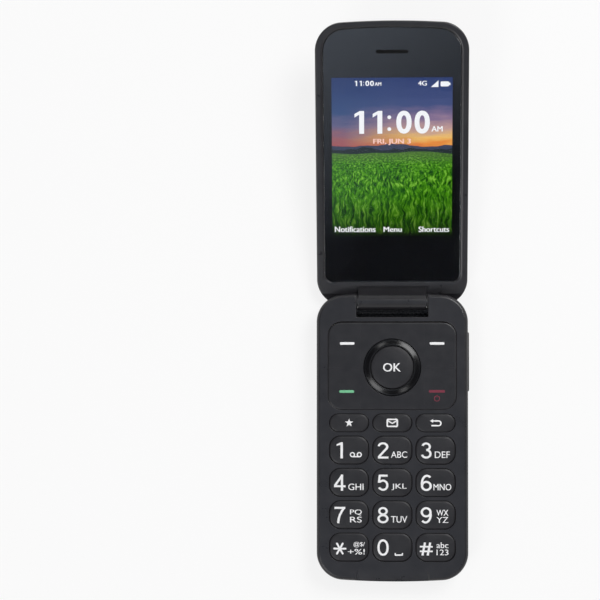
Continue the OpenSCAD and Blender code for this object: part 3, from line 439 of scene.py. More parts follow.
BOARD = moulded("circuit board", (0.02, 0.12, 0.06), 0.45, coat=0.3)
CELL = moulded("battery wrap", (0.52, 0.51, 0.49), 0.4, metal=0.4)
INNER = moulded("black inner moulding", (0.020, 0.020, 0.022), 0.5)
AMBER = moulded("amber film", (0.40, 0.20, 0.05), 0.3, coat=0.3)
PALE = moulded("pale film", (0.55, 0.50, 0.42), 0.45)
DARK_MESH = moulded("fine dark mesh", (0.006, 0.006, 0.007), 0.6, specular=0.15, ridges=0.0005,
                    ridge_depth=0.0001)
LEGEND = moulded("white legend print", (0.87, 0.87, 0.88), 0.5, mottle=0.03, rub=0.0)
GREEN_INK = moulded("green print", (0.16, 0.50, 0.27), 0.5, mottle=0.05, rub=0.0)
RED_INK = moulded("red print", (0.17, 0.010, 0.032), 0.5, mottle=0.05, rub=0.0)


def clear_lens(name):
    """Clear polished plastic, with faint smears on it."""
    finish, b, shader = new_finish(name)
    place = b.put("ShaderNodeTexCoord").outputs["Object"]
    smear = b.put("ShaderNodeTexNoise", {"Vector": place, "Scale": 45.0, "Detail": 5.0})
    b.tree.links.new(b.spread(smear.outputs[0], 0.4, 0.75, 0.015, 0.06), shader.inputs["Roughness"])
    bump = b.put("ShaderNodeBump", {"Height": smear.outputs[0], "Distance": 0.000002})
    b.tree.links.new(bump.outputs[0], shader.inputs["Normal"])
    tone = b.blend(smear.outputs[0], (0.96, 0.97, 0.98, 1), (0.99, 0.99, 1.0, 1))
    b.tree.links.new(tone, shader.inputs["Base Color"])
    shader.inputs["Transmission Weight"].default_value = 1.0
    shader.inputs["IOR"].default_value = 1.49
    return finish


CLEAR = clear_lens("clear lens")


def stretched_noise(b, place, scale, detail=4.0, roughness=0.6):
    """Noise with its own scale across and up the display."""
    stretched = b.put("ShaderNodeMapping", {"Vector": place, "Scale": (*scale, 1.0)}).outputs[0]
    return b.put("ShaderNodeTexNoise", {"Vector": stretched, "Scale": 1.0, "Detail": detail,
                                        "Roughness": roughness}).outputs[0]


def evening_sky(b, place, across, up, horizon):
    """A sky that is cool at the left and glows at the right, with long thin clouds."""
    cloud = b.spread(stretched_noise(b, place, (3.0, 22.0), 5.0), 0.3, 0.7, -0.06, 0.06)
    height = b.calc("ADD", b.spread(up, horizon, 1.0), cloud)
    cool = b.ramp(height, [
        (0.0, (0.40, 0.08, 0.08, 1)), (0.16, (0.30, 0.11, 0.13, 1)), (0.33, (0.12, 0.11, 0.22, 1)),
        (0.52, (0.030, 0.068, 0.19, 1)), (0.80, (0.010, 0.035, 0.145, 1)), (1.0, (0.003, 0.022, 0.12, 1))])
    warm = b.ramp(height, [
        (0.0, (0.72, 0.14, 0.02, 1)), (0.08, (0.84, 0.30, 0.05, 1)), (0.18, (0.90, 0.54, 0.14, 1)),
        (0.30, (0.56, 0.34, 0.30, 1)), (0.44, (0.24, 0.16, 0.28, 1)), (0.62, (0.045, 0.068, 0.20, 1)),
        (1.0, (0.004, 0.022, 0.13, 1))])
    return b.blend(b.spread(across, 0.10, 0.78), cool, warm)


def meadow(b, place, near):
    """Grass whose blades grow towards the viewer, and the blades alone. near is 0 at the horizon."""
    swing = b.spread(stretched_noise(b, place, (7.0, 9.0), 2.0), 0.0, 1.0, -0.055, 0.055)
    swing = b.put("ShaderNodeCombineXYZ", {"X": swing}).outputs[0]
    sway = b.put("ShaderNodeVectorMath", {0: place, 1: swing}, operation="ADD").outputs[0]
    far_blades = stretched_noise(b, place, (55.0, 120.0))
    middle_blades = stretched_noise(b, sway, (60.0, 26.0))
    near_blades = stretched_noise(b, sway, (46.0, 8.0), 3.0)
    blades = b.blend(b.spread(near, 0.08, 0.35), far_blades, middle_blades, kind="FLOAT")
    blades = b.blend(b.spread(near, 0.35, 0.75), blades, near_blades, kind="FLOAT")
    patches = b.spread(stretched_noise(b, place, (5.0, 9.0), 3.0), 0.3, 0.7, -0.10, 0.10)
    light = b.calc("ADD", b.spread(blades, 0.35, 0.65), patches)
    grass = b.ramp(light, [(0.0, (0.000, 0.022, 0.001, 1)), (0.35, (0.014, 0.110, 0.001, 1)),
                           (0.65, (0.070, 0.300, 0.003, 1)), (1.0, (0.28, 0.60, 0.06, 1))])
    grass = b.blend(b.spread(near, 0.16, 0.0), grass, (0.085, 0.19, 0.035, 1))
    # it grows darker towards the bottom edge
    levels = ((0.0, 0.8), (0.15, 1.0), (0.45, 0.95), (0.85, 0.38), (0.93, 0.22), (0.98, 0.03))
    level = b.ramp(near, [(share, (grey, grey, grey, 1)) for share, grey in levels])
    return b.blend(1.0, grass, level, blend_type="MULTIPLY"), blades


def dusk_picture(name, horizon):
    """A lit display: evening sky over a meadow. UV runs across and up the display."""
    finish, b, shader = new_finish(name)
    place = b.put("ShaderNodeTexCoord").outputs["UV"]
    axes = b.put("ShaderNodeSeparateXYZ", {"Vector": place})
    across, up = axes.outputs[0], axes.outputs[1]
    scene = evening_sky(b, place, across, up, horizon)
    # two low ridges between the sky and the meadow
    for scale, low, high, tone in ((3.0, 0.012, 0.045, (0.040, 0.050, 0.095, 1)),
                                   (5.5, -0.012, 0.026, (0.012, 0.022, 0.026, 1))):
        wave = stretched_noise(b, place, (scale, 0.0), 3.0, 0.45)
        crest = b.calc("ADD", horizon, b.spread(wave, 0.3, 0.7, low, high))
        scene = b.blend(b.calc("LESS_THAN", up, crest), scene, tone)
    grass, blades = meadow(b, place, b.spread(up, horizon, 0.0))
    wave = stretched_noise(b, place, (2.2, 0.0), 1.0)
    edge = b.calc("ADD", horizon, b.spread(wave, 0.3, 0.7, -0.030, -0.006))
    scene = b.blend(b.calc("LESS_THAN", up, edge), scene, grass)
    b.tree.links.new(scene, shader.inputs["Emission Color"])
    shader.inputs["Emission Strength"].default_value = 1.0
    shader.inputs["Base Color"].default_value = (0.002, 0.002, 0.002, 1)
    shader.inputs["Specular IOR Level"].default_value = 0.1
    b.tree.links.new(b.spread(blades, 0, 1, 0.4, 0.5), shader.inputs["Roughness"])
    bump = b.put("ShaderNodeBump", {"Height": blades, "Distance": 0.000001})
    b.tree.links.new(bump.outputs[0], shader.inputs["Normal"])
    return finish


def lit_ink(name, colour):
    finish, b, shader = new_finish(name)
    place = b.put("ShaderNodeTexCoord").outputs["Object"]
    grid = b.put("ShaderNodeTexNoise", {"Vector": place, "Scale": 4000.0})
    tone = b.blend(grid.outputs[0], tuple(c * 0.96 for c in colour) + (1,), tuple(colour) + (1,))
    b.tree.links.new(tone, shader.inputs["Emission Color"])
    b.tree.links.new(b.spread(grid.outputs[0], 0, 1, 0.45, 0.55), shader.inputs["Roughness"])
    bump = b.put("ShaderNodeBump", {"Height": grid.outputs[0], "Distance": 0.000001})
    b.tree.links.new(bump.outputs[0], shader.inputs["Normal"])
    shader.inputs["Emission Strength"].default_value = 1.0
    shader.inputs["Base Color"].default_value = (0.02, 0.02, 0.02, 1)
    return finish


WHITE_PIXELS = lit_ink("white pixels", (0.95, 0.96, 0.98))
PINK_PIXELS = lit_ink("warm pixels", (0.97, 0.62, 0.54))
MAIN_PICTURE = dusk_picture("main display picture", 0.545)
OUTER_PICTURE = dusk_picture("outer display picture", 0.36)


# ---- Camera ----

def place_camera():
    """Pinhole camera that sees the phone as the photograph does."""
    data = bpy.data.cameras.new("camera")
    data.sensor_width, data.lens = 36.0, 121.0
    data.clip_start, data.clip_end = 0.05, 10.0
    camera = bpy.data.objects.new("camera", data)
    bpy.context.scene.collection.objects.link(camera)
    stand = Vector((0.0, 34.4, 747.0))
    aim = Vector((-33.6, 49.95, 11.9))
    look = (aim - stand).normalized()
    right = look.cross(Vector((0, 1, 0))).normalized()
    upward = right.cross(look)
    camera.matrix_world = Matrix.Translation(stand * MM) @ Matrix(
        (right, upward, -look)).transposed().to_4x4()
    bpy.context.scene.camera = camera


place_camera()


# ---- Base ----

def slot_outline(grow):
    return outline(-SLOT_HALF, SLOT_HALF, HINGE_Y - SLOT_REACH, HINGE_Y + BARREL_R + 3, (0.3,) * 4, grow)


KEY_W, KEY_H, FUNCTION_KEY_H, KEY_GAP = 14.35, 10.25, 6.55, 0.12
HOLE_EDGE, KEY_FULL = 0.12, 0.105
KEY_R, FUNCTION_KEY_R, KEY_CROWN, KEY_TOP = 4.0, 3.2, 60.0, BASE_T + 0.15
COLUMN_PITCH, ROW_PITCH, FIRST_ROW, FUNCTION_ROW = 15.7, 11.75, 54.1, 44.2
PANEL_W, PANEL_H, PANEL_R, PANEL_AT, RING_AT = 46.6, 31.9, 5.0, 23.4, 24.0
PANEL_Y, RING_Y, PANEL_TOP = HINGE_Y - PANEL_AT, HINGE_Y - RING_AT, BASE_T - 0.05
RING_R, RING_W, STRIP_HALF, SEAM = 10.35, 2.4, 11.6, 0.006
SIDE_KEY_L, SIDE_KEY_H, SIDE_KEY_PROUD = 21.7, 2.6, 0.45
SIDE_Y, SIDE_Z = HINGE_Y - 22.0, (BASE_SPLIT + FRONT_IN) / 2 + 0.2
RING_TOP, OK_TOP = BASE_T + 0.15, BASE_T + 0.1
USB_W, USB_H, USB_Z = 8.0, 3.1, 5.55
JACK_R, JACK_Y, JACK_Z = 2.45, 25.0, 4.6
COVER_W, COVER_L, COVER_R, COVER_Y, COVER_T = 42.6, 62.0, 5.0, -13.5, 1.2
BAY_HALF_W, BAY_HALF_L, BAY_Y = 17.3, 24.3, -14.0
SPEAKER_X, SPEAKER_Y, SPEAKER_PITCH = 11.0, 34.0, 2.2
SCREW_X, SCREW_ROWS, SCREW_HOLE_R = 19.5, (43.4, -47.6), 1.4
NUMBER_KEYS = ["1", "2", "3", "4", "5", "6", "7", "8", "9", "star", "0", "hash"]
FUNCTION_KEYS = ["favourite", "message", "back"]


def key_place(i):
    return ((i % 3 - 1) * COLUMN_PITCH, HINGE_Y - FIRST_ROW - (i // 3) * ROW_PITCH)


def function_place(i):
    return (i - 1) * COLUMN_PITCH, HINGE_Y - FUNCTION_ROW


def key_ring(w, h, r, place, extra):
    """The outline about a key's place, larger by extra. It is called with how much more to grow."""
    return lambda grow: rounded(w, h, r, *place, extra + grow)


def cover_ring(extra):
    return key_ring(COVER_W, COVER_L, COVER_R, (0, COVER_Y), extra)


def socket_openings():
    """The ways in to the charging socket, at the foot, and to the headset socket, at the side."""
    usb = [[(x, y, USB_Z + v) for x, v in rounded(USB_W, USB_H, USB_H * 0.42)]
           for y in (-HALF_L - 2, -HALF_L + 5)]
    return loft(usb), rod_x(JACK_R, -HALF_W - 2, -HALF_W + 4, JACK_Y, JACK_Z, 48)


def face_openings():
    """The holes for the keys and the panel, with rounded edges at the face."""
    rings = [key_ring(KEY_W, KEY_H, KEY_R, key_place(i), KEY_GAP) for i in range(12)]
    rings += [key_ring(KEY_W, FUNCTION_KEY_H, FUNCTION_KEY_R, function_place(i), KEY_GAP) for i in range(3)]
    holes = [flared(ring, FRONT_IN - 1, BASE_T, HOLE_EDGE) for ring in rings]
    panel = key_ring(PANEL_W, PANEL_H, PANEL_R, (0, PANEL_Y), KEY_GAP)
    return merged(*holes, flared(panel, FRONT_IN - 1, BASE_T, 0.2))


def foot_bevel():
    """The shallow slope at the foot of the keypad's face, where a thumb opens the lid."""
    reach, depth, half = 4.6, 0.9, 13.4
    start, stop, low = -HALF_L - 1, -HALF_L + reach, BASE_T - depth * (1 + 1 / reach)
    slope = [(-1, start, low), (1, start, low), (0.93, stop, BASE_T), (-0.93, stop, BASE_T)]
    above = [(-1.06, start, BASE_T + 1), (1.06, start, BASE_T + 1),
             (1.0, stop + 1, BASE_T + 1), (-1.0, stop + 1, BASE_T + 1)]
    return loft([[(share * half, y, z + 0.001) for share, y, z in row] for row in (slope, above)])


def add_knuckle_feet(housing):
    """A low boss on each knuckle, with a foot and a lip, closes the gap beside the barrel."""
    near, deep = BARREL_L / 2 + 0.15, SLOT_HALF + 1
    back, low = REAR_END - 0.6, BASE_SPLIT + 0.05
    for s in (-1, 1):
        xs = sorted((s * near, s * deep))
        lip_xs = sorted((s * (near - 0.8), s * deep))
        carve(housing, rod_x(BARREL_R - 0.2, *xs, HINGE_Y, HINGE_Z),
              brick(*xs, back, HINGE_Y, low, HINGE_Z),
              brick(*lip_xs, back, REAR_END + 0.8, low, low + 0.3), operation="UNION")


def make_front_housing():
    """The front half of the base: the keypad's face, the sides and the two knuckles."""
    rings = [body_ring(5.65, 0), body_ring(BASE_T - FRONT_EDGE, 0)]
    rings += [body_ring(BASE_T - FRONT_EDGE * (1 - rise), FRONT_EDGE * draw)
              for draw, rise in quarter(10)[1:]]
    housing = draft("base_front", loft(rings))
    # the knuckles are round about the hinge, from the split line up
    low = math.sqrt(BARREL_R ** 2 - (HINGE_Z - BASE_SPLIT) ** 2)
    start = -math.pi + math.atan2(HINGE_Z - BASE_SPLIT, low)
    arc = [(HINGE_Y + BARREL_R * math.cos(a), HINGE_Z + BARREL_R * math.sin(a))
           for a in [start * (1 - i / 32) for i in range(33)]]
    foot, above = -HALF_L - 5, BASE_T + 2
    section = [(foot, BASE_SPLIT)] + arc + [(HINGE_Y + BARREL_R, above), (foot, above)]
    carve(housing, prism_x(section, -HALF_W - 2, HALF_W + 2), operation="INTERSECT")
    inner_r = CORNER_R - WALL
    cavity = loft([at(z, outline(-HALF_W + WALL, HALF_W - WALL, -HALF_L + WALL + 0.9, CAVITY_END,
                                 (1, 1, inner_r, inner_r))) for z in (BASE_SPLIT - 2, FRONT_IN)])
    side_ring = rounded(SIDE_KEY_L + 2 * KEY_GAP, SIDE_KEY_H + 2 * KEY_GAP, 1.2)
    side_slot = loft([[(x, SIDE_Y + u, SIDE_Z + v) for u, v in side_ring]
                      for x in (HALF_W - 3, HALF_W + 2)])
    carve(housing, cavity, flared(slot_outline, 2.0, BASE_T, 0.35), face_openings(), foot_bevel(),
          side_slot, *socket_openings())
    add_knuckle_feet(housing)
    settle(housing, "base", SATIN, ["front_housing"])


def rear_drop(z):
    return 0 if z >= REAR_EDGE else REAR_EDGE * (1 - math.sqrt(1 - (1 - z / REAR_EDGE) ** 2))


def make_rear_housing():
    """The back half of the base: the rounded tub, the battery bay and the openings."""
    rings = []
    for draw, rise in reversed(quarter(12)):
        z = BACK_ROUND_H * (1 - rise)
        rings.append(body_ring(z, BACK_ROUND_W * draw, clip=REAR_END - rear_drop(z)))
    rings.append(body_ring(BASE_SPLIT - 0.16, 0, clip=REAR_END))
    rings.append(body_ring(BASE_SPLIT, 0.16, clip=REAR_END - 0.1))
    housing = draft("base_rear", loft(rings))
    inner_half = HALF_W - WALL - 1.9
    room = [at(z, outline(-inner_half, inner_half, -HALF_L + WALL + 1.9, REAR_END - WALL,
                          (2, 2, 6, 6))) for z in (FLOOR_T, BASE_SPLIT + 1)]
    bay = brick(-BAY_HALF_W, BAY_HALF_W, BAY_Y - BAY_HALF_L, BAY_Y + BAY_HALF_L, -1, FLOOR_T + 1)
    cover = flared(cover_ring(KEY_GAP), COVER_T + 0.02, 0.0, 0.2)
    slots = [key_ring(1, 7, 0.49, (SPEAKER_X + SPEAKER_PITCH * i, SPEAKER_Y), 0)
             for i in (-2.5, -1.5, -0.5, 0.5, 1.5, 2.5)]
    slots = merged(*[flared(ring, FLOOR_T + 1, 0.0, 0.15) for ring in slots])
    screws = merged(*[flared(lambda g, s=s, y=y: circle(SCREW_HOLE_R + g, s * SCREW_X, y, 40), 1.55, 0.0, 0.2)
                      for s in (-1, 1) for y in SCREW_ROWS])
    microphone = rod_y(0.4, -HALF_L - 2, -HALF_L + 6, -12, 5.5)
    carve(housing, loft(room), bay, cover, slots, screws, *socket_openings(), microphone)
    settle(housing, "base", KNURLED_BASE, ["rear_housing"])


def make_battery_cover():
    """The battery cover, with a shallow dish for a fingertip."""
    cover = draft("back_cover", plate(cover_ring(0), 0.0, COVER_T, 0.1, 0.25))
    dish_r, dish_depth, from_end = 16.0, 0.6, 3.4
    dish_at = (0, COVER_Y + COVER_L / 2 - from_end, dish_depth - dish_r)
    dish = bmesh.new()
    bmesh.ops.create_uvsphere(dish, u_segments=96, v_segments=48, radius=dish_r,
                              matrix=Matrix.Translation(dish_at))
    carve(cover, dish)
    settle(cover, "base", KNURLED_BASE, ["battery_cover"])


make_front_housing()
make_rear_housing()
make_battery_cover()


# ---- Keys ----

def key_form(ring, x, y, crown_top, edge, depth, flange=0.4):
    """A crowned key: flange, straight side, rounded edge and a shallow dome on top."""
    def over(points, sink=0.0):
        return [(px, py, crown_height(crown_top, KEY_CROWN, px - x, py - y) - sink) for px, py in points]

    rings = [at(9.6, ring(flange)), at(10.2, ring(flange)), at(10.2, ring(0))]
    for draw, rise in quarter(6):
        rings.append(over(ring(-edge * draw), depth * (1 - rise)))
    inner = ring(-edge)
    for share in (0.86, 0.68, 0.48, 0.27, 0.08):
        rings.append(over([(x + (px - x) * share, y + (py - y) * share) for px, py in inner]))
    return loft(rings)


def make_keys():
    """The twelve number keys and the three function keys."""
    number_size, function_size = (KEY_W, KEY_H, KEY_R), (KEY_W, FUNCTION_KEY_H, FUNCTION_KEY_R)
    rows = [(name, key_place(i), number_size, 0.9, 0.42) for i, name in enumerate(NUMBER_KEYS)]
    rows += [(name, function_place(i), function_size, 0.85, 0.4) for i, name in enumerate(FUNCTION_KEYS)]
    for name, place, size, edge, depth in rows:
        form = key_form(key_ring(*size, place, KEY_FULL), *place, KEY_TOP, edge, depth)
        settle((f"key_{name}_top", form), f"key_{name}", KEYS, [f"key_{name}"])


def panel_outline(grow):
    """The panel's edge. Its gap to the housing is tight but for the side by the hinge."""
    half_w, half_h = PANEL_W / 2 + KEY_FULL, PANEL_H / 2
    return outline(-half_w, half_w, PANEL_Y - half_h - KEY_FULL, PANEL_Y + half_h - 0.15,
                   (PANEL_R,) * 4, grow)


def whole_panel():
    return plate(panel_outline, 9.6, PANEL_TOP, 0.8, depth=0.3, steps=8)


def make_panel():
    """The four corner keys and the fixed strip between them."""
    for name, sx, sy in (("soft_left", -1, 1), ("soft_right", 1, 1), ("send", -1, -1), ("end", 1, -1)):
        xs = sorted((sx * (STRIP_HALF + SEAM), sx * HALF_W))
        ys = sorted((RING_Y + sy * SEAM, RING_Y + sy * PANEL_H))
        corner_key = draft(f"key_{name}_top", whole_panel())
        carve(corner_key, brick(*xs, *ys, 9, BASE_T + 1), operation="INTERSECT")
        settle(corner_key, f"key_{name}", PANEL, [f"key_{name}"])
    strip = draft("panel_strip", whole_panel())
    carve(strip, brick(-STRIP_HALF, STRIP_HALF, PANEL_Y - PANEL_H, PANEL_Y + PANEL_H, 10.5, BASE_T + 1),
          operation="INTERSECT")
    carve(strip, flared(lambda g: circle(RING_R + 0.15 + g, 0, RING_Y, 160), 9.0, PANEL_TOP, 0.15))
    settle(strip, "base", PANEL, ["nav_strip"])


def make_ring():
    """The navigation ring. Its top is a cone that falls away outwards, rounded at both edges."""
    inner, crest_z = RING_R - RING_W, RING_TOP - 0.02
    turns = [math.radians(7.5 * i) for i in range(13)]
    fall = math.tan(math.radians(17.5))
    brow = crest_z - fall * (RING_W - 0.95)
    outer_edge = [(RING_R - 0.35 + 0.35 * math.cos(a), brow - 0.3 + 0.3 * math.sin(a)) for a in turns[:11]]
    inner_edge = [(inner + 0.35 - 0.35 * math.sin(a), RING_TOP - 0.35 + 0.35 * math.cos(a)) for a in turns]
    crest = [(inner + 0.5 + 0.29 * i, crest_z - fall * 0.29 * i) for i in range(6)]
    profile = [(RING_R - 1.2, 9.5), (RING_R + 0.4, 9.5), (RING_R + 0.4, 9.75), (RING_R, 9.75)] + outer_edge
    profile += crest[::-1] + inner_edge + [(inner, 10.8), (RING_R - 1.2, 10.8)]
    form = lathe(profile, 0, RING_Y, 160)
    settle(("ring_gloss", form), "nav_ring", RING_GLOSS, ["nav_ring"])


def make_middle_key():
    """The round key inside the ring."""
    ok_r, edge_r = RING_R - RING_W - KEY_GAP, 0.35
    rim = [(ok_r - edge_r * draw, edge_r * (1 - rise)) for draw, rise in quarter(6)]
    edge = [(r, crown_height(OK_TOP, KEY_CROWN, r, 0) - sink) for r, sink in rim]
    crown = [(r, crown_height(OK_TOP, KEY_CROWN, r, 0)) for r in (6.3, 5, 3.6, 2.2, 1.0, 0.0)]
    profile = [(0.0, 10.15), (ok_r + 0.4, 10.15), (ok_r + 0.4, 10.5), (ok_r, 10.5)] + edge + crown
    settle(("ok_top", lathe(profile, 0, RING_Y, 128)), "ok_key", KEYS, ["ok_key"])


def make_side_key():
    """The long key on the right side, with the flange that holds it in its slot."""
    flange, tip, edge = HALF_W - WALL - 0.3, HALF_W + SIDE_KEY_PROUD, 0.5
    rings = [(flange - 0.45, 0.4), (flange, 0.4), (flange, 0.0), (tip - edge, 0.0)]
    rings += [(tip - edge * (1 - rise), -edge * draw) for draw, rise in quarter(6)[1:]]
    form = loft([[(x, SIDE_Y + u, SIDE_Z + v) for u, v in rounded(SIDE_KEY_L, SIDE_KEY_H, 1.2, grow=g)]
                 for x, g in rings])
    settle(("side_key_cap", form), "volume_key", KEYS, ["volume_key"])


make_keys()
make_panel()
make_ring()
make_middle_key()
make_side_key()


# ---- Lid ----

LENS_W, LENS_FROM, LENS_RIM, LENS_T, LENS_SINK = 49.5, 6.55, 2.2, 0.9, 0.1
LENS_HINGE_Y, LENS_FAR_Y = lid_y(LENS_FROM), -HALF_L + LENS_RIM
LENS_Z0, LENS_Z1 = LID_Z + LENS_SINK, LID_Z + LENS_SINK + LENS_T
DISPLAY_Z = LENS_Z1 + 0.05
ACTIVE_W, ACTIVE_FROM, ACTIVE_TO = 43.4, 23.72, 81.6
EARPIECE_AT = 90.96
CAMERA_AT, WINDOW_AT, WINDOW_W, WINDOW_L, WINDOW_R, WINDOW_T = 11.4, 48.1, 31.4, 35.5, 3.5, 0.8


def lens_outline(grow):
    """Small corners by the hinge, large ones at the far end, which bows like the phone."""
    half_w, corner_steps, end_steps = LENS_W / 2, 16, 24
    points = outline(-half_w, half_w, LENS_FAR_Y, LENS_HINGE_Y, (3.0, 3.0, 7.2, 7.2), grow, corner_steps)
    third_corner = 3 * (corner_steps + 1)
    (x0, y0), (x1, _) = points[third_corner - 1], points[third_corner]
    far_end = [(x0 + (x1 - x0) * i / end_steps, y0) for i in range(1, end_steps)]
    middle = (LENS_FAR_Y + LENS_HINGE_Y) / 2
    return [(x, y + (END_BOW * (x / half_w) ** 2 if y < middle else 0))
            for x, y in points[:third_corner] + far_end + points[third_corner:]]


def hinge_web():
    """The barrel and the web that carries it, with softened ends."""
    reach, rise = 4.65, LID_Z - HINGE_Z
    turn = math.atan2(rise, -reach) + math.acos(BARREL_R / math.hypot(reach, rise))
    turned = [turn + (2 * math.pi - turn) * i / 48 for i in range(49)]
    section = [(-reach, rise)] + [(BARREL_R * math.cos(a), BARREL_R * math.sin(a)) for a in turned] + [
        (BARREL_R, rise), (BARREL_R - 0.3, rise + 1.0), (-reach, rise + 1.0)]
    web = bmesh.new()
    ends = [[web.verts.new((x, HINGE_Y + y, HINGE_Z + z)) for y, z in section]
            for x in (-BARREL_L / 2, BARREL_L / 2)]
    for i in range(len(section)):
        j = (i + 1) % len(section)
        web.faces.new((ends[0][i], ends[0][j], ends[1][j], ends[1][i]))
    caps = [web.faces.new(end) for end in ends]
    bmesh.ops.recalc_face_normals(web, faces=web.faces)
    rim = [e for cap in caps for e in cap.edges]
    bmesh.ops.bevel(web, geom=rim, offset=0.3, segments=4, affect="EDGES", profile=0.5)
    return web


def make_lid_frame():
    """The inner frame of the lid, with the hinge barrel on its web."""
    bevel = [body_ring(LID_Z + LID_BEVEL * rise, LID_BEVEL * (1 - math.sin(math.acos(1 - rise))))
             for rise in (0.0, 0.12, 0.3, 0.6, 1.0)]
    lid_frame = draft("lid_frame", loft(bevel + [body_ring(SPLIT_Z - 0.12, 0), body_ring(SPLIT_Z, 0.12)]))
    # room for the knuckles to turn in, and a groove along the web's root
    relief = (BARREL_R - FRONT_EDGE) * math.sqrt(2) + FRONT_EDGE + 0.3
    carve(lid_frame, *[rod_x(relief, *sorted((s * (BARREL_L / 2 + 0.25), s * BODY_W)), HINGE_Y, HINGE_Z)
                       for s in (-1, 1)])
    groove_half = BARREL_L / 2 + 0.9
    carve(lid_frame, brick(-groove_half, groove_half, lid_y(5.1), lid_y(4.7), LID_Z - 1, LID_Z + 0.45))
    carve(lid_frame, hinge_web(), operation="UNION")
    pocket = flared(lambda g: lens_outline(0.06 + g), LENS_Z1 + 0.05, LID_Z, 1.1, 0.38, steps=8)
    display_room = [(x, min(y, lid_y(20.4))) for x, y in lens_outline(-1.4)]
    opening = loft([at(z, display_room) for z in (LID_Z, SPLIT_Z + 1)])
    bore = rod_x(2.13, -BARREL_L / 2 - 1, BARREL_L / 2 + 1, HINGE_Y, HINGE_Z, 48)
    carve(lid_frame, pocket, opening, bore)
    settle(lid_frame, "lid", SATIN, ["lid_inner_frame"])


def draw_in(t, reach):
    """How far the shell's shoulder draws in at a share of its height."""
    return reach * (1 - math.sqrt(max(0.0, 1 - t * t)))


def shoulder_ring(z, extra=0.0):
    """The shell's outline at one height. Its heel, by the hinge, is rounder than its sides."""
    t = (z - SPLIT_Z) / (TOP_Z - SPLIT_Z)
    side = draw_in(t, LID_ROUND_W) + extra
    heel = min(draw_in(t, HEEL_ROUND) + extra, CORNER_R - 0.1)
    return body_ring(z, side, heel, side)


def window_outline(grow):
    return rounded(WINDOW_W, WINDOW_L, WINDOW_R, 0, lid_y(WINDOW_AT), grow)


def below_table():
    """All that lies under the table's face when the lid is open, as seen from the closed lid."""
    corners = ((-60, -150), (60, -150), (60, 150), (-60, 150))
    form = loft([at(-60, corners), at(0.08, corners)])
    form.transform(OPENED.inverted())
    return form


def make_lid_shell():
    """The textured outer shell of the lid, with its window and the camera's seat."""
    angles = [math.radians(90 * i / 20) for i in range(21)]
    rings = [body_ring(SPLIT_Z, 0.12)] + [
        shoulder_ring(SPLIT_Z + (TOP_Z - SPLIT_Z) * max(math.sin(a), 0.025)) for a in angles]
    shell = draft("lid_shell", loft(rings))
    inner_top = TOP_Z - WINDOW_T - 0.4
    room = []
    for share in (0.0, 0.45, 0.8, 1.0):
        z = SPLIT_Z + (inner_top - SPLIT_Z) * share
        ring = shoulder_ring(z, WALL)
        if not room:
            room.append([(x, y, z - 1) for x, y, _ in ring])
        room.append(ring)
    lid_centre = lid_y(CAMERA_AT)
    seat = flared(lambda g: circle(5.09 + g, 0, lid_centre), TOP_Z - 0.6, TOP_Z, 0.12)
    hole = loft([at(z, circle(3.4, 0, lid_centre)) for z in (SPLIT_Z, TOP_Z)])
    pocket = flared(lambda g: window_outline(0.15 + g), TOP_Z - WINDOW_T - 0.05, TOP_Z, 0.2)
    inner_window = loft([at(z, window_outline(-1.6)) for z in (SPLIT_Z, TOP_Z)])
    carve(shell, loft(room), seat, hole, pocket, inner_window)
    carve(shell, below_table())
    settle(shell, "lid", KNURLED, ["lid_outer_shell"])


def display_sheet(name, w, y_low, y_high, z, out, finish, stands_for, thickness=1.2):
    """A display module whose lit face has UV across and up. out is which way it faces."""
    form = brick(-w / 2, w / 2, y_low, y_high, *sorted((z, z - out * thickness)))
    thing = draft(name, form)
    uv = thing.data.uv_layers.new(name="UVMap")
    for loop in thing.data.loops:
        x, y, _ = thing.data.vertices[loop.vertex_index].co
        if out < 0:
            uv.data[loop.index].uv = ((x + w / 2) / w, (y_high - y) / (y_high - y_low))
        else:
            uv.data[loop.index].uv = ((x + w / 2) / w, (y - y_low) / (y_high - y_low))
    return settle(thing, "lid", finish, stands_for)


def earpiece_slot(grow=0.0):
    return rounded(11.6, 1.15, 0.56, 0, lid_y(EARPIECE_AT), grow)


def make_main_screen():
    """The inner lens, the black print behind it with its window, and the lit display."""
    lens = draft("main_lens_glass", plate(lens_outline, LENS_Z0, LENS_Z1, 0.0, 0.25))
    carve(lens, flared(earpiece_slot, LENS_Z1 + 1, LENS_Z0, 0.12))
    settle(lens, "lid", CLEAR, ["main_lens"])
    print_ring = plate(lambda g: lens_outline(g + 0.1), LENS_Z1 + 0.005, LENS_Z1 + 0.03)
    behind = draft("main_lens_print", print_ring)
    active = brick(-ACTIVE_W / 2, ACTIVE_W / 2, lid_y(ACTIVE_TO), lid_y(ACTIVE_FROM), LENS_Z0, LENS_Z1 + 1)
    carve(behind, active, loft([at(z, earpiece_slot()) for z in (LENS_Z0, LENS_Z1 + 1)]))
    settle(behind, "lid", LENS_PRINT)
    display_sheet("main_screen", ACTIVE_W + 0.4, lid_y(ACTIVE_TO + 0.2), lid_y(ACTIVE_FROM - 0.2),
                  DISPLAY_Z + 0.02, -1, MAIN_PICTURE, ["main_display"])


def make_outer_screen():
    """The outer lens, the print behind it with its window, and the outer display."""
    y = lid_y(WINDOW_AT)
    lens = draft("outer_lens_glass", plate(window_outline, TOP_Z - WINDOW_T, TOP_Z - 0.02, 0.2))
    settle(lens, "lid", CLEAR, ["outer_lens"])
    low, high = TOP_Z - WINDOW_T - 0.03, TOP_Z - WINDOW_T - 0.005
    behind = draft("outer_lens_print", plate(lambda g: window_outline(g - 0.05), low, high))
    carve(behind, brick(-12.75, 12.75, y - 13.4, y + 13.4, low - 1, high + 1))
    settle(behind, "lid", LENS_PRINT)
    display_sheet("outer_screen", 25.9, y - 13.6, y + 13.6, low - 0.03, 1, OUTER_PICTURE, ["outer_display"])


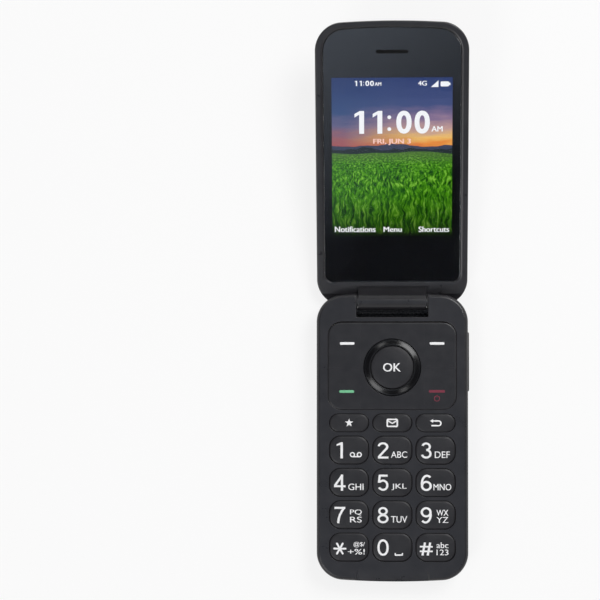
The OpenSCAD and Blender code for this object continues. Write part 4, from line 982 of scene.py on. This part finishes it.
def make_camera():
    """The camera on the lid: polished rim, clear window, stepped bezel and a domed eye."""
    y = lid_y(CAMERA_AT)
    r, w, edge, seat = 5.05, 0.5, 0.12, TOP_Z - 0.58
    rim = [(r - w, seat), (r, seat), (r, TOP_Z)]
    rim += [(r - edge + edge * math.cos(a), TOP_Z + 0.1 * math.sin(a))
            for a in [math.radians(15 * i) for i in range(1, 7)]]
    rim += [(r - w + edge - edge * math.sin(a), TOP_Z + 0.1 * math.cos(a))
            for a in [math.radians(15 * i) for i in range(0, 7)]]
    settle(("camera_rim", lathe(rim, 0, y, 128)), "lid", RIM_STEEL, ["camera_ring"])
    inner = r - w - 0.03
    glass = [(0.0, seat), (inner, seat), (inner, TOP_Z - 0.16), (inner - 0.06, TOP_Z - 0.13),
             (0.0, TOP_Z - 0.13)]
    settle(("camera_glass", lathe(glass, 0, y, 96)), "lid", CLEAR, ["camera_window"])
    low = TOP_Z - 1.2
    bezel = [(0.0, low), (3.2, low), (3.2, TOP_Z - 0.66), (1.75, TOP_Z - 0.66), (1.7, TOP_Z - 0.72),
             (1.35, TOP_Z - 0.95), (0.0, TOP_Z - 0.95)]
    settle(("camera_bezel", lathe(bezel, 0, y, 96)), "lid", LENS_PRINT)
    eye_r = 1.2
    eye = [(0.0, TOP_Z - 1.0), (eye_r, TOP_Z - 1.0)]
    eye += [(eye_r * math.cos(a), TOP_Z - 0.94 + 0.22 * math.sin(a))
            for a in [math.radians(10 * i) for i in range(10)]]
    settle(("camera_eye", lathe(eye, 0, y, 64)), "lid", RING_GLOSS)
    ledge = [(3.3, TOP_Z - 0.66), (inner, TOP_Z - 0.66), (inner, TOP_Z - 0.6), (3.3, TOP_Z - 0.6)]
    settle(("camera_surround", lathe(ledge, 0, y, 96)), "lid", LENS_PRINT)


make_lid_frame()
make_lid_shell()
make_main_screen()
make_outer_screen()
make_camera()


# ---- Words, signs and marks ----

# Thickness of a print, how far it stands over a key, and the least radius of a square end
SHEET, PRINT_RISE, SQUARE = 0.024, 0.006, 0.001


def flat_sign(loops):
    """A curve filled between its outlines and holes, as thick as a print."""
    curve = bpy.data.curves.new("sign", "CURVE")
    curve.dimensions, curve.fill_mode, curve.extrude = "2D", "BOTH", SHEET / 2
    for loop in loops:
        spline = curve.splines.new("POLY")
        spline.points.add(len(loop) - 1)
        for point, (x, y) in zip(spline.points, loop):
            point.co = (x, y, 0, 1)
        spline.use_cyclic_u = True
    return curve


def to_form(curve):
    """A curve as a form in millimetres."""
    thing = bpy.data.objects.new("sign", curve)
    bpy.context.scene.collection.objects.link(thing)
    bpy.context.view_layer.update()
    mesh = bpy.data.meshes.new_from_object(thing.evaluated_get(bpy.context.evaluated_depsgraph_get()))
    bpy.data.objects.remove(thing)
    bpy.data.curves.remove(curve)
    form = bmesh.new()
    form.from_mesh(mesh)
    bpy.data.meshes.remove(mesh)
    bmesh.ops.remove_doubles(form, verts=form.verts, dist=1e-5)
    return form


def word(text, x, y, w, h, weight=0.0):
    """Lettering that fills a box of w by h around x, y. weight thickens its upright strokes."""
    curve = bpy.data.curves.new("word", "FONT")
    curve.body, curve.size, curve.resolution_u = text, 1.0, 5
    curve.extrude = SHEET / 2
    form = to_form(curve)
    xs = [v.co.x for v in form.verts]
    ys = [v.co.y for v in form.verts]
    across, upward = (w - weight) / (max(xs) - min(xs)), h / (max(ys) - min(ys))
    for v in form.verts:
        v.co.x = x + (v.co.x - (max(xs) + min(xs)) / 2) * across
        v.co.y = y + (v.co.y - (max(ys) + min(ys)) / 2) * upward
    if not weight:
        return form
    second = form.copy()
    form.transform(Matrix.Translation((-weight / 2, 0, -0.001)))
    second.transform(Matrix.Translation((weight / 2, 0, 0.001)))
    return merged(form, second)


def sign(*loops):
    return to_form(flat_sign(loops))


def bar(x, y, w, h, angle=0.0, r=None):
    """A bar with round ends, turned by an angle."""
    turn = Matrix.Rotation(math.radians(angle), 2)
    return [tuple(turn @ Vector(p) + Vector((x, y))) for p in
            rounded(w, h, min(w, h) / 2 - SQUARE if r is None else r, steps=5)]


def ring_sign(x, y, r, w):
    return [circle(q, x, y, 28) for q in (r, r - w)]


def star_sign(x, y, r):
    return [(x + q * math.sin(math.pi * i / 5), y + q * math.cos(math.pi * i / 5))
            for i, q in enumerate([r, r * 0.42] * 5)]


def sweep(cx, cy, rx, ry, start, end, steps=20):
    """Points along part of an ellipse, from one angle to another in degrees."""
    turns = [math.radians(start + (end - start) * i / steps) for i in range(steps + 1)]
    return [(cx + rx * math.cos(a), cy + ry * math.sin(a)) for a in turns]


def stroke(points, w):
    """A pen stroke of width w along the points, with square ends, as one outline."""
    left, right = [], []
    for i, (x, y) in enumerate(points):
        (ax, ay), (bx, by) = points[max(i - 1, 0)], points[min(i + 1, len(points) - 1)]
        long = math.hypot(bx - ax, by - ay)
        nx, ny = -(by - ay) / long * w / 2, (bx - ax) / long * w / 2
        left.append((x + nx, y + ny))
        right.append((x - nx, y - ny))
    return left + right[::-1]


def oval(cx, cy, rx, ry, w, power=2.2, steps=48):
    """The two outlines of an oval ring, a little squarer than an ellipse."""
    def bent(v):
        return math.copysign(abs(v) ** (2 / power), v)
    return [[(cx + (rx + d) * bent(math.cos(a)), cy + (ry + d) * bent(math.sin(a)))
             for a in [2 * math.pi * i / steps for i in range(steps)]] for d in (w / 2, -w / 2)]


def figure(character, t):
    """A plain figure in a box one unit high and 0.62 wide, drawn with a pen of width t."""
    if character == "0":
        return [oval(0, 0, 0.31 - t / 2, 0.5 - t / 2, t)]
    if character == "1":
        right = 0.31
        left = right - t
        return [[[(right, -0.5), (right, 0.5), (left + 0.03, 0.5), (left - 0.19, 0.37),
                  (left - 0.19, 0.37 - t * 0.8), (left, 0.34), (left, -0.5)]]]
    if character == "2":
        bow = sweep(0, 0.5 - t / 2 - 0.21, 0.235, 0.21, 172, -32)
        return [[stroke(bow + [(-0.2, -0.36), (-0.235, -0.44)], t)],
                [bar(0.01, -0.5 + t / 2, 0.58, t, r=SQUARE)]]
    if character == "3":
        return [[stroke(sweep(0, 0.235, 0.2, 0.2, 165, -90), t)],
                [stroke(sweep(0, -0.2, 0.235, 0.235, 90, -165), t)]]
    if character == "4":
        return [[bar(0.12, 0, t, 1.0, r=SQUARE)], [stroke([(0.13, 0.44), (-0.27, -0.18)], t)],
                [bar(0, -0.22, 0.64, t, r=SQUARE)]]
    if character == "5":
        return [[bar(0.03, 0.5 - t / 2, 0.44, t, r=SQUARE)], [stroke([(-0.17, 0.48), (-0.225, 0.0)], t)],
                [stroke(sweep(0.0, -0.15, 0.24, 0.285, 138, -152), t)]]
    if character == "6":
        return [oval(0.005, -0.5 + t / 2 + 0.25, 0.3 - t / 2, 0.25, t, 2.0),
                [stroke(sweep(0.045, -0.06, 0.285, 0.5, 52, 186), t)]]
    if character == "7":
        return [[bar(0, 0.5 - t / 2, 0.6, t, r=SQUARE)],
                [stroke([(0.235, 0.44), (0.12, 0.25), (0.0, 0.0), (-0.06, -0.22), (-0.09, -0.5)], t)]]
    if character == "8":
        return [oval(0, 0.245, 0.265 - t / 2, 0.255 - t / 2, t, 2.0),
                oval(0, -0.22, 0.305 - t / 2, 0.28 - t / 2, t, 2.0)]
    if character == "9":
        return [[[(-x, -y) for x, y in loop] for loop in loops] for loops in figure("6", t)]
    if character == "#":
        return [[stroke([(x - 0.075, -0.5), (x + 0.075, 0.5)], t)] for x in (-0.15, 0.15)] + [
            [bar(0, y, 0.74, t, r=SQUARE)] for y in (-0.18, 0.18)]
    return [[bar(0, 0, 0.9, t, angle)] for angle in (0, 60, 120)]


def number(text, x, y, w, h, t=0.13, gap=0.12):
    """Figures that fill a box of w by h around x, y. A one fills the right of its cell."""
    blank = 0.43 - t if text[0] == "1" else 0.0
    cells = [0.33 if c == ":" else 0.62 for c in text]
    across = w / (sum(cells) + gap * (len(text) - 1) - blank)
    forms, place = [], x - w / 2 - blank * across
    for character, cell in zip(text, cells):
        middle = place + cell * across / 2
        if character == ":":
            loops = [[circle(0.08, 0, v, 20)] for v in (-0.3, 0.22)]
        else:
            loops = figure(character, t)
        forms += [sign(*[[(middle + u * across, y + v * h) for u, v in loop] for loop in shape])
                  for shape in loops]
        place += (cell + gap) * across
    return forms


def press_on(name, forms, body, finish, height, slices=1.0):
    """Lays flat lettering on a surface: height(x, y) is where the surface is."""
    form = merged(*forms)
    if slices:
        for axis in (0, 1):
            low = min(v.co[axis] for v in form.verts)
            high = max(v.co[axis] for v in form.verts)
            place = low + slices
            while place < high:
                at_point = [0, 0, 0]
                at_point[axis] = place
                normal = [0, 0, 0]
                normal[axis] = 1
                bmesh.ops.bisect_plane(form, geom=form.verts[:] + form.edges[:] + form.faces[:],
                                       plane_co=at_point, plane_no=normal, dist=1e-5)
                place += slices
    for v in form.verts:
        v.co.z += height(v.co.x, v.co.y)
    return settle((name, form), body, finish)


# The small legend of each number key: its one line and width, or its two lines
NUMBER_LEGENDS = {
    "2": ("ABC", 5.9), "3": ("DEF", 5.5), "4": ("GHI", 5.6), "5": ("JKL", 5.5), "6": ("MNO", 6.5),
    "7": ("PQ", "RS"), "8": ("TUV", 5.9), "9": ("WX", "YZ"), "star": ("@$/", "+%!"), "hash": ("abc", "123")}
FIGURE_LEFT, FIGURE_DOWN, SMALL_RIGHT = 3.4, 0.1, 2.45
FIGURE_PEN, LEGEND_WEIGHT = 0.125, 0.05


def small_letters(name, x, y):
    """The small legend at the lower right of a number key, or its sign."""
    middle, low = x + SMALL_RIGHT, y - 1.6
    if name == "1":
        rings = [ring_sign(middle + side * 1.25, low - 0.05, 0.95, 0.42) for side in (-1, 1)]
        return [sign(*ring) for ring in rings] + [sign(bar(middle, low - 0.8, 2.5, 0.42))]
    if name == "0":
        low -= 0.9
        return [sign(bar(middle - 0.1, low - 0.3, 3.0, 0.5))] + [
            sign(bar(middle - 0.1 + side * 1.3, low, 0.45, 1.0)) for side in (-1, 1)]
    text, other = NUMBER_LEGENDS[name]
    if name == "star":
        return [word(text, x + 3.65, y + 0.95, 4.1, 2.0, LEGEND_WEIGHT),
                word(other, x + 2.6, y - 1.65, 6.2, 2.0, LEGEND_WEIGHT)]
    if isinstance(other, str):
        return [word(text, middle, y + 0.85, 4.3, 2.1, LEGEND_WEIGHT),
                word(other, middle, y - 1.75, 4.3, 2.1, LEGEND_WEIGHT)]
    return [word(text, middle, low, other, 2.35, LEGEND_WEIGHT)]


def function_sign(name, x, y):
    """The star, the envelope or the bent arrow of a function key."""
    if name == "favourite":
        return [sign(star_sign(x, y, 1.6))]
    if name == "message":
        envelope = [rounded(4.2, 3.1, 0.6, x, y, steps=5), rounded(3.1, 2.0, 0.2, x, y, steps=4)]
        return [sign(*envelope)] + [sign(bar(x + side * 0.8, y + 0.3, 2.2, 0.45, side * 32))
                                    for side in (-1, 1)]
    bend = sweep(x + 1.1, y - 0.1, 0.85, 0.85, 90, -90, 14)
    return [sign(stroke([(x - 1.2, y + 0.75)] + bend + [(x - 1.5, y - 0.95)], 0.52)),
            sign([(x - 2.0, y + 0.75), (x - 0.85, y + 1.5), (x - 0.85, y)])]


def over_crown(x, y, top):
    """The height of a print on a crowned key about x, y."""
    return lambda u, v: crown_height(top, KEY_CROWN, u - x, v - y) + PRINT_RISE


def print_legends():
    """The legends of all the keys and of the panel."""
    for i, name in enumerate(NUMBER_KEYS):
        x, y = key_place(i)
        digit = {"hash": "#", "star": "*"}.get(name, name)
        w, h, drop = {"1": (2.3, 5.9, FIGURE_DOWN), "#": (3.9, 4.7, 0.55),
                      "*": (3.3, 5.4, 0.55)}.get(digit, (4.1, 5.9, FIGURE_DOWN))
        big = number(digit, x - FIGURE_LEFT, y - drop, w, h, FIGURE_PEN)
        press_on(f"legend_{name}", big + small_letters(name, x, y), f"key_{name}", LEGEND,
                 over_crown(x, y, KEY_TOP))
    for i, name in enumerate(FUNCTION_KEYS):
        x, y = function_place(i)
        press_on(f"legend_{name}", function_sign(name, x, y), f"key_{name}", LEGEND,
                 over_crown(x, y, KEY_TOP))
    press_on("legend_ok", [word("OK", -0.1, RING_Y, 6.5, 3.05, 0.12)], "ok_key", LEGEND,
             over_crown(0, RING_Y, OK_TOP))
    corner_marks = (("soft_left", -16.4, 34.1, 5.3, LEGEND), ("soft_right", 16.3, 34.1, 5.3, LEGEND),
                    ("send", -16.55, 16.6, 5.3, GREEN_INK), ("end", 16.25, 16.7, 5.8, RED_INK))
    for name, x, y, w, ink in corner_marks:
        marks = [sign(bar(x, y, w, 0.95, r=0.3))]
        if name == "end":
            marks += [sign(*ring_sign(x, y - 2.6, 1.1, 0.28)), sign(bar(x, y - 1.7, 0.3, 0.9))]
        press_on(f"legend_{name}", marks, f"key_{name}", ink, lambda u, v: PANEL_TOP + PRINT_RISE, slices=0)


def screen_words():
    """What the two displays show: the time, the date and the labels of the soft keys."""
    front = DISPLAY_Z + 0.008

    def upright(form):
        # the inner display faces down on the closed lid, with its top at the far end
        form.transform(Matrix.Diagonal((1, -1, -1, 1)))
        return form

    def line(text, x, along, w, h, weight=0.0):
        return upright(word(text, x, along - HINGE_Y, w, h, weight))

    marks = [line("Notifications", -13.45, 26.15, 14.9, 2.1, 0.16), line("Menu", 0.2, 26.1, 6.7, 1.9, 0.16),
             line("Shortcuts", 15.2, 26.1, 11.2, 2.0, 0.16), line("AM", 16.2, 63.0, 4.1, 1.95, 0.14),
             line("AM", -5.0, 79.3, 2.4, 1.3, 0.1), line("4G", 10.9, 79.5, 3.2, 1.7, 0.14)]
    marks += [upright(form) for form in number("11:00", 0.05, 65.45 - HINGE_Y, 27.1, 8.3, 0.2)]
    marks += [upright(form) for form in number("11:00", -9.9, 79.55 - HINGE_Y, 6.9, 1.9, 0.2)]
    status = 78.1 - HINGE_Y
    marks.append(upright(sign([(13.95, status), (16.65, status), (16.65, status + 2.4)])))
    marks.append(upright(sign(rounded(3.0, 1.8, 0.35, 18.9, status + 1.1, steps=3))))
    marks.append(upright(sign(rounded(0.5, 0.9, 0.1, 20.65, status + 1.1, steps=3))))
    press_on("screen_words", marks, "lid", WHITE_PIXELS, lambda u, v: front, slices=0)
    press_on("screen_date", [line("FRI, JUN 3", 0.0, 58.3, 13.6, 2.3, 0.2)], "lid", PINK_PIXELS,
             lambda u, v: front, slices=0)

    # the outer display faces up on the closed lid, and is read with the hinge at the top
    outer = TOP_Z - WINDOW_T - 0.045
    middle = lid_y(WINDOW_AT)
    marks = [word("AM", 0, middle + 6.2, 3.4, 1.7, 0.1),
             sign(rounded(2.6, 1.3, 0.25, 10.4, middle + 11.3, steps=3))]
    marks += number("11:00", -0.2, middle + 1.3, 17.6, 5.2, 0.17)
    press_on("outer_words", marks, "lid", WHITE_PIXELS, lambda u, v: outer, slices=0)
    press_on("outer_date", [word("FRI, JUN 3", -0.2, middle - 3.8, 10.6, 1.6, 0.08)], "lid", PINK_PIXELS,
             lambda u, v: outer, slices=0)


print_legends()
screen_words()


# ---- Finishes of the nodes that stay ----

KEPT_FINISHES = {
    STEEL: ["shield_can", "usb_socket", "card_holder", "vibration_motor", "lid_magnet", "side_switch",
            "case_screws", "hinge_pin", "hinge_shaft", "hinge_cam", "nav_rocker"],
    BRASS: ["hinge_bush", "microphone"],
    BOARD: ["main_board", "lid_board"],
    CELL: ["battery"],
    INNER: ["battery_contacts", "loudspeaker", "headset_jack", "earpiece", "camera_module"],
    AMBER: ["hinge_flex"],
    PALE: ["dome_sheet", "antenna"],
    DARK_MESH: ["earpiece_mesh"],
}
for finish, names in KEPT_FINISHES.items():
    for name in names:
        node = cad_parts[name]
        node.data.materials.clear()
        node.data.materials.append(finish)


# ---- Floor and light ----

def seen_directly(b):
    """One where the camera, a gloss or a clear lens looks at the background, else nought."""
    ray = b.put("ShaderNodeLightPath")
    mirrored = b.calc("MAXIMUM", ray.outputs["Is Glossy Ray"], ray.outputs["Is Transmission Ray"])
    return b.calc("MAXIMUM", ray.outputs["Is Camera Ray"], mirrored)


def make_studio():
    """The white table, the room that gloss shows, and four lamps."""
    floor_form = loft([at(-0.02, rounded(3000, 3000, 10)), at(-5.0, rounded(3000, 3000, 10))])
    floor = draft("floor", floor_form)
    floor.data.transform(Matrix.Scale(MM, 4))
    finish, b, shader = new_finish("white table")
    tree = b.tree
    shader.inputs["Base Color"].default_value = (0.86, 0.86, 0.86, 1)
    shader.inputs["Roughness"].default_value = 0.6
    seen = seen_directly(b)
    white = b.put("ShaderNodeEmission", {"Color": (1, 1, 1, 1), "Strength": 1.0})
    mix = b.put("ShaderNodeMixShader", {"Fac": b.calc("MULTIPLY", seen, 0.8)})
    tree.links.new(shader.outputs[0], mix.inputs[1])
    tree.links.new(white.outputs[0], mix.inputs[2])
    out = next(n for n in tree.nodes if n.type == "OUTPUT_MATERIAL")
    tree.links.new(mix.outputs[0], out.inputs[0])
    floor.data.materials.append(finish)

    world = bpy.data.worlds.new("studio")
    bpy.context.scene.world = world
    world.use_nodes = True
    b = Bench(world.node_tree)
    sky = world.node_tree.nodes["Background"]
    # gloss shows a white room whose ceiling is grey over the keys and dark behind the lid's lens
    way = b.put("ShaderNodeSeparateXYZ", {"Vector": b.put("ShaderNodeTexCoord").outputs["Generated"]})
    rise = b.calc("MAXIMUM", way.outputs[2], 0.05)
    forward = b.calc("DIVIDE", b.calc("MULTIPLY", way.outputs[1], -1.0), rise)
    sideways = b.calc("MULTIPLY", b.calc("DIVIDE", way.outputs[0], rise), 0.7)
    rear = b.calc("MULTIPLY", b.spread(forward, -0.6, -0.3), b.spread(forward, 0.12, 0.34, 0.62, 1.0))
    edges = b.calc("MULTIPLY", rear, b.spread(b.calc("ABSOLUTE", sideways), 0.32, 0.18))
    grey = b.calc("MULTIPLY", b.spread(b.calc("ADD", forward, sideways), 0.36, 0.495, 1.0, 0.0), edges)
    ceiling = b.blend(grey, (0.0, 0.0, 0.0, 1), (0.66, 0.74, 0.88, 1))
    room = b.blend(b.spread(way.outputs[2], 0.75, 0.55), ceiling, (1, 1, 1, 1))
    seen = seen_directly(b)
    b.tree.links.new(b.blend(seen, (1, 1, 1, 1), room), sky.inputs["Color"])
    b.tree.links.new(b.spread(seen, 0, 1, 0.30, 1.0), sky.inputs["Strength"])

    def lamp(name, place, target, size, power, size_y=None):
        data = bpy.data.lights.new(name, "AREA")
        data.energy, data.size = power, size
        if size_y:
            data.shape, data.size_y = "RECTANGLE", size_y
        light = bpy.data.objects.new(name, data)
        light.location = place
        light.rotation_mode = "QUATERNION"
        light.rotation_quaternion = (Vector(target) - Vector(place)).to_track_quat("-Z", "Y")
        bpy.context.scene.collection.objects.link(light)

    lamp("key light", (0.455, 0.54, 1.0), (0, 0.04, 0), 0.5, 7.6)
    lamp("fill light", (-0.48, -0.52, 1.0), (0, 0.04, 0), 0.42, 3.4)
    lamp("small light by the lid", (-0.31, 0.66, 1.0), (0, 0.04, 0), 0.2, 0.5)
    lamp("small light by the foot", (0.31, -0.58, 1.0), (0, 0.04, 0), 0.2, 0.5)


make_studio()
bpy.context.scene.view_settings.view_transform = "Standard"
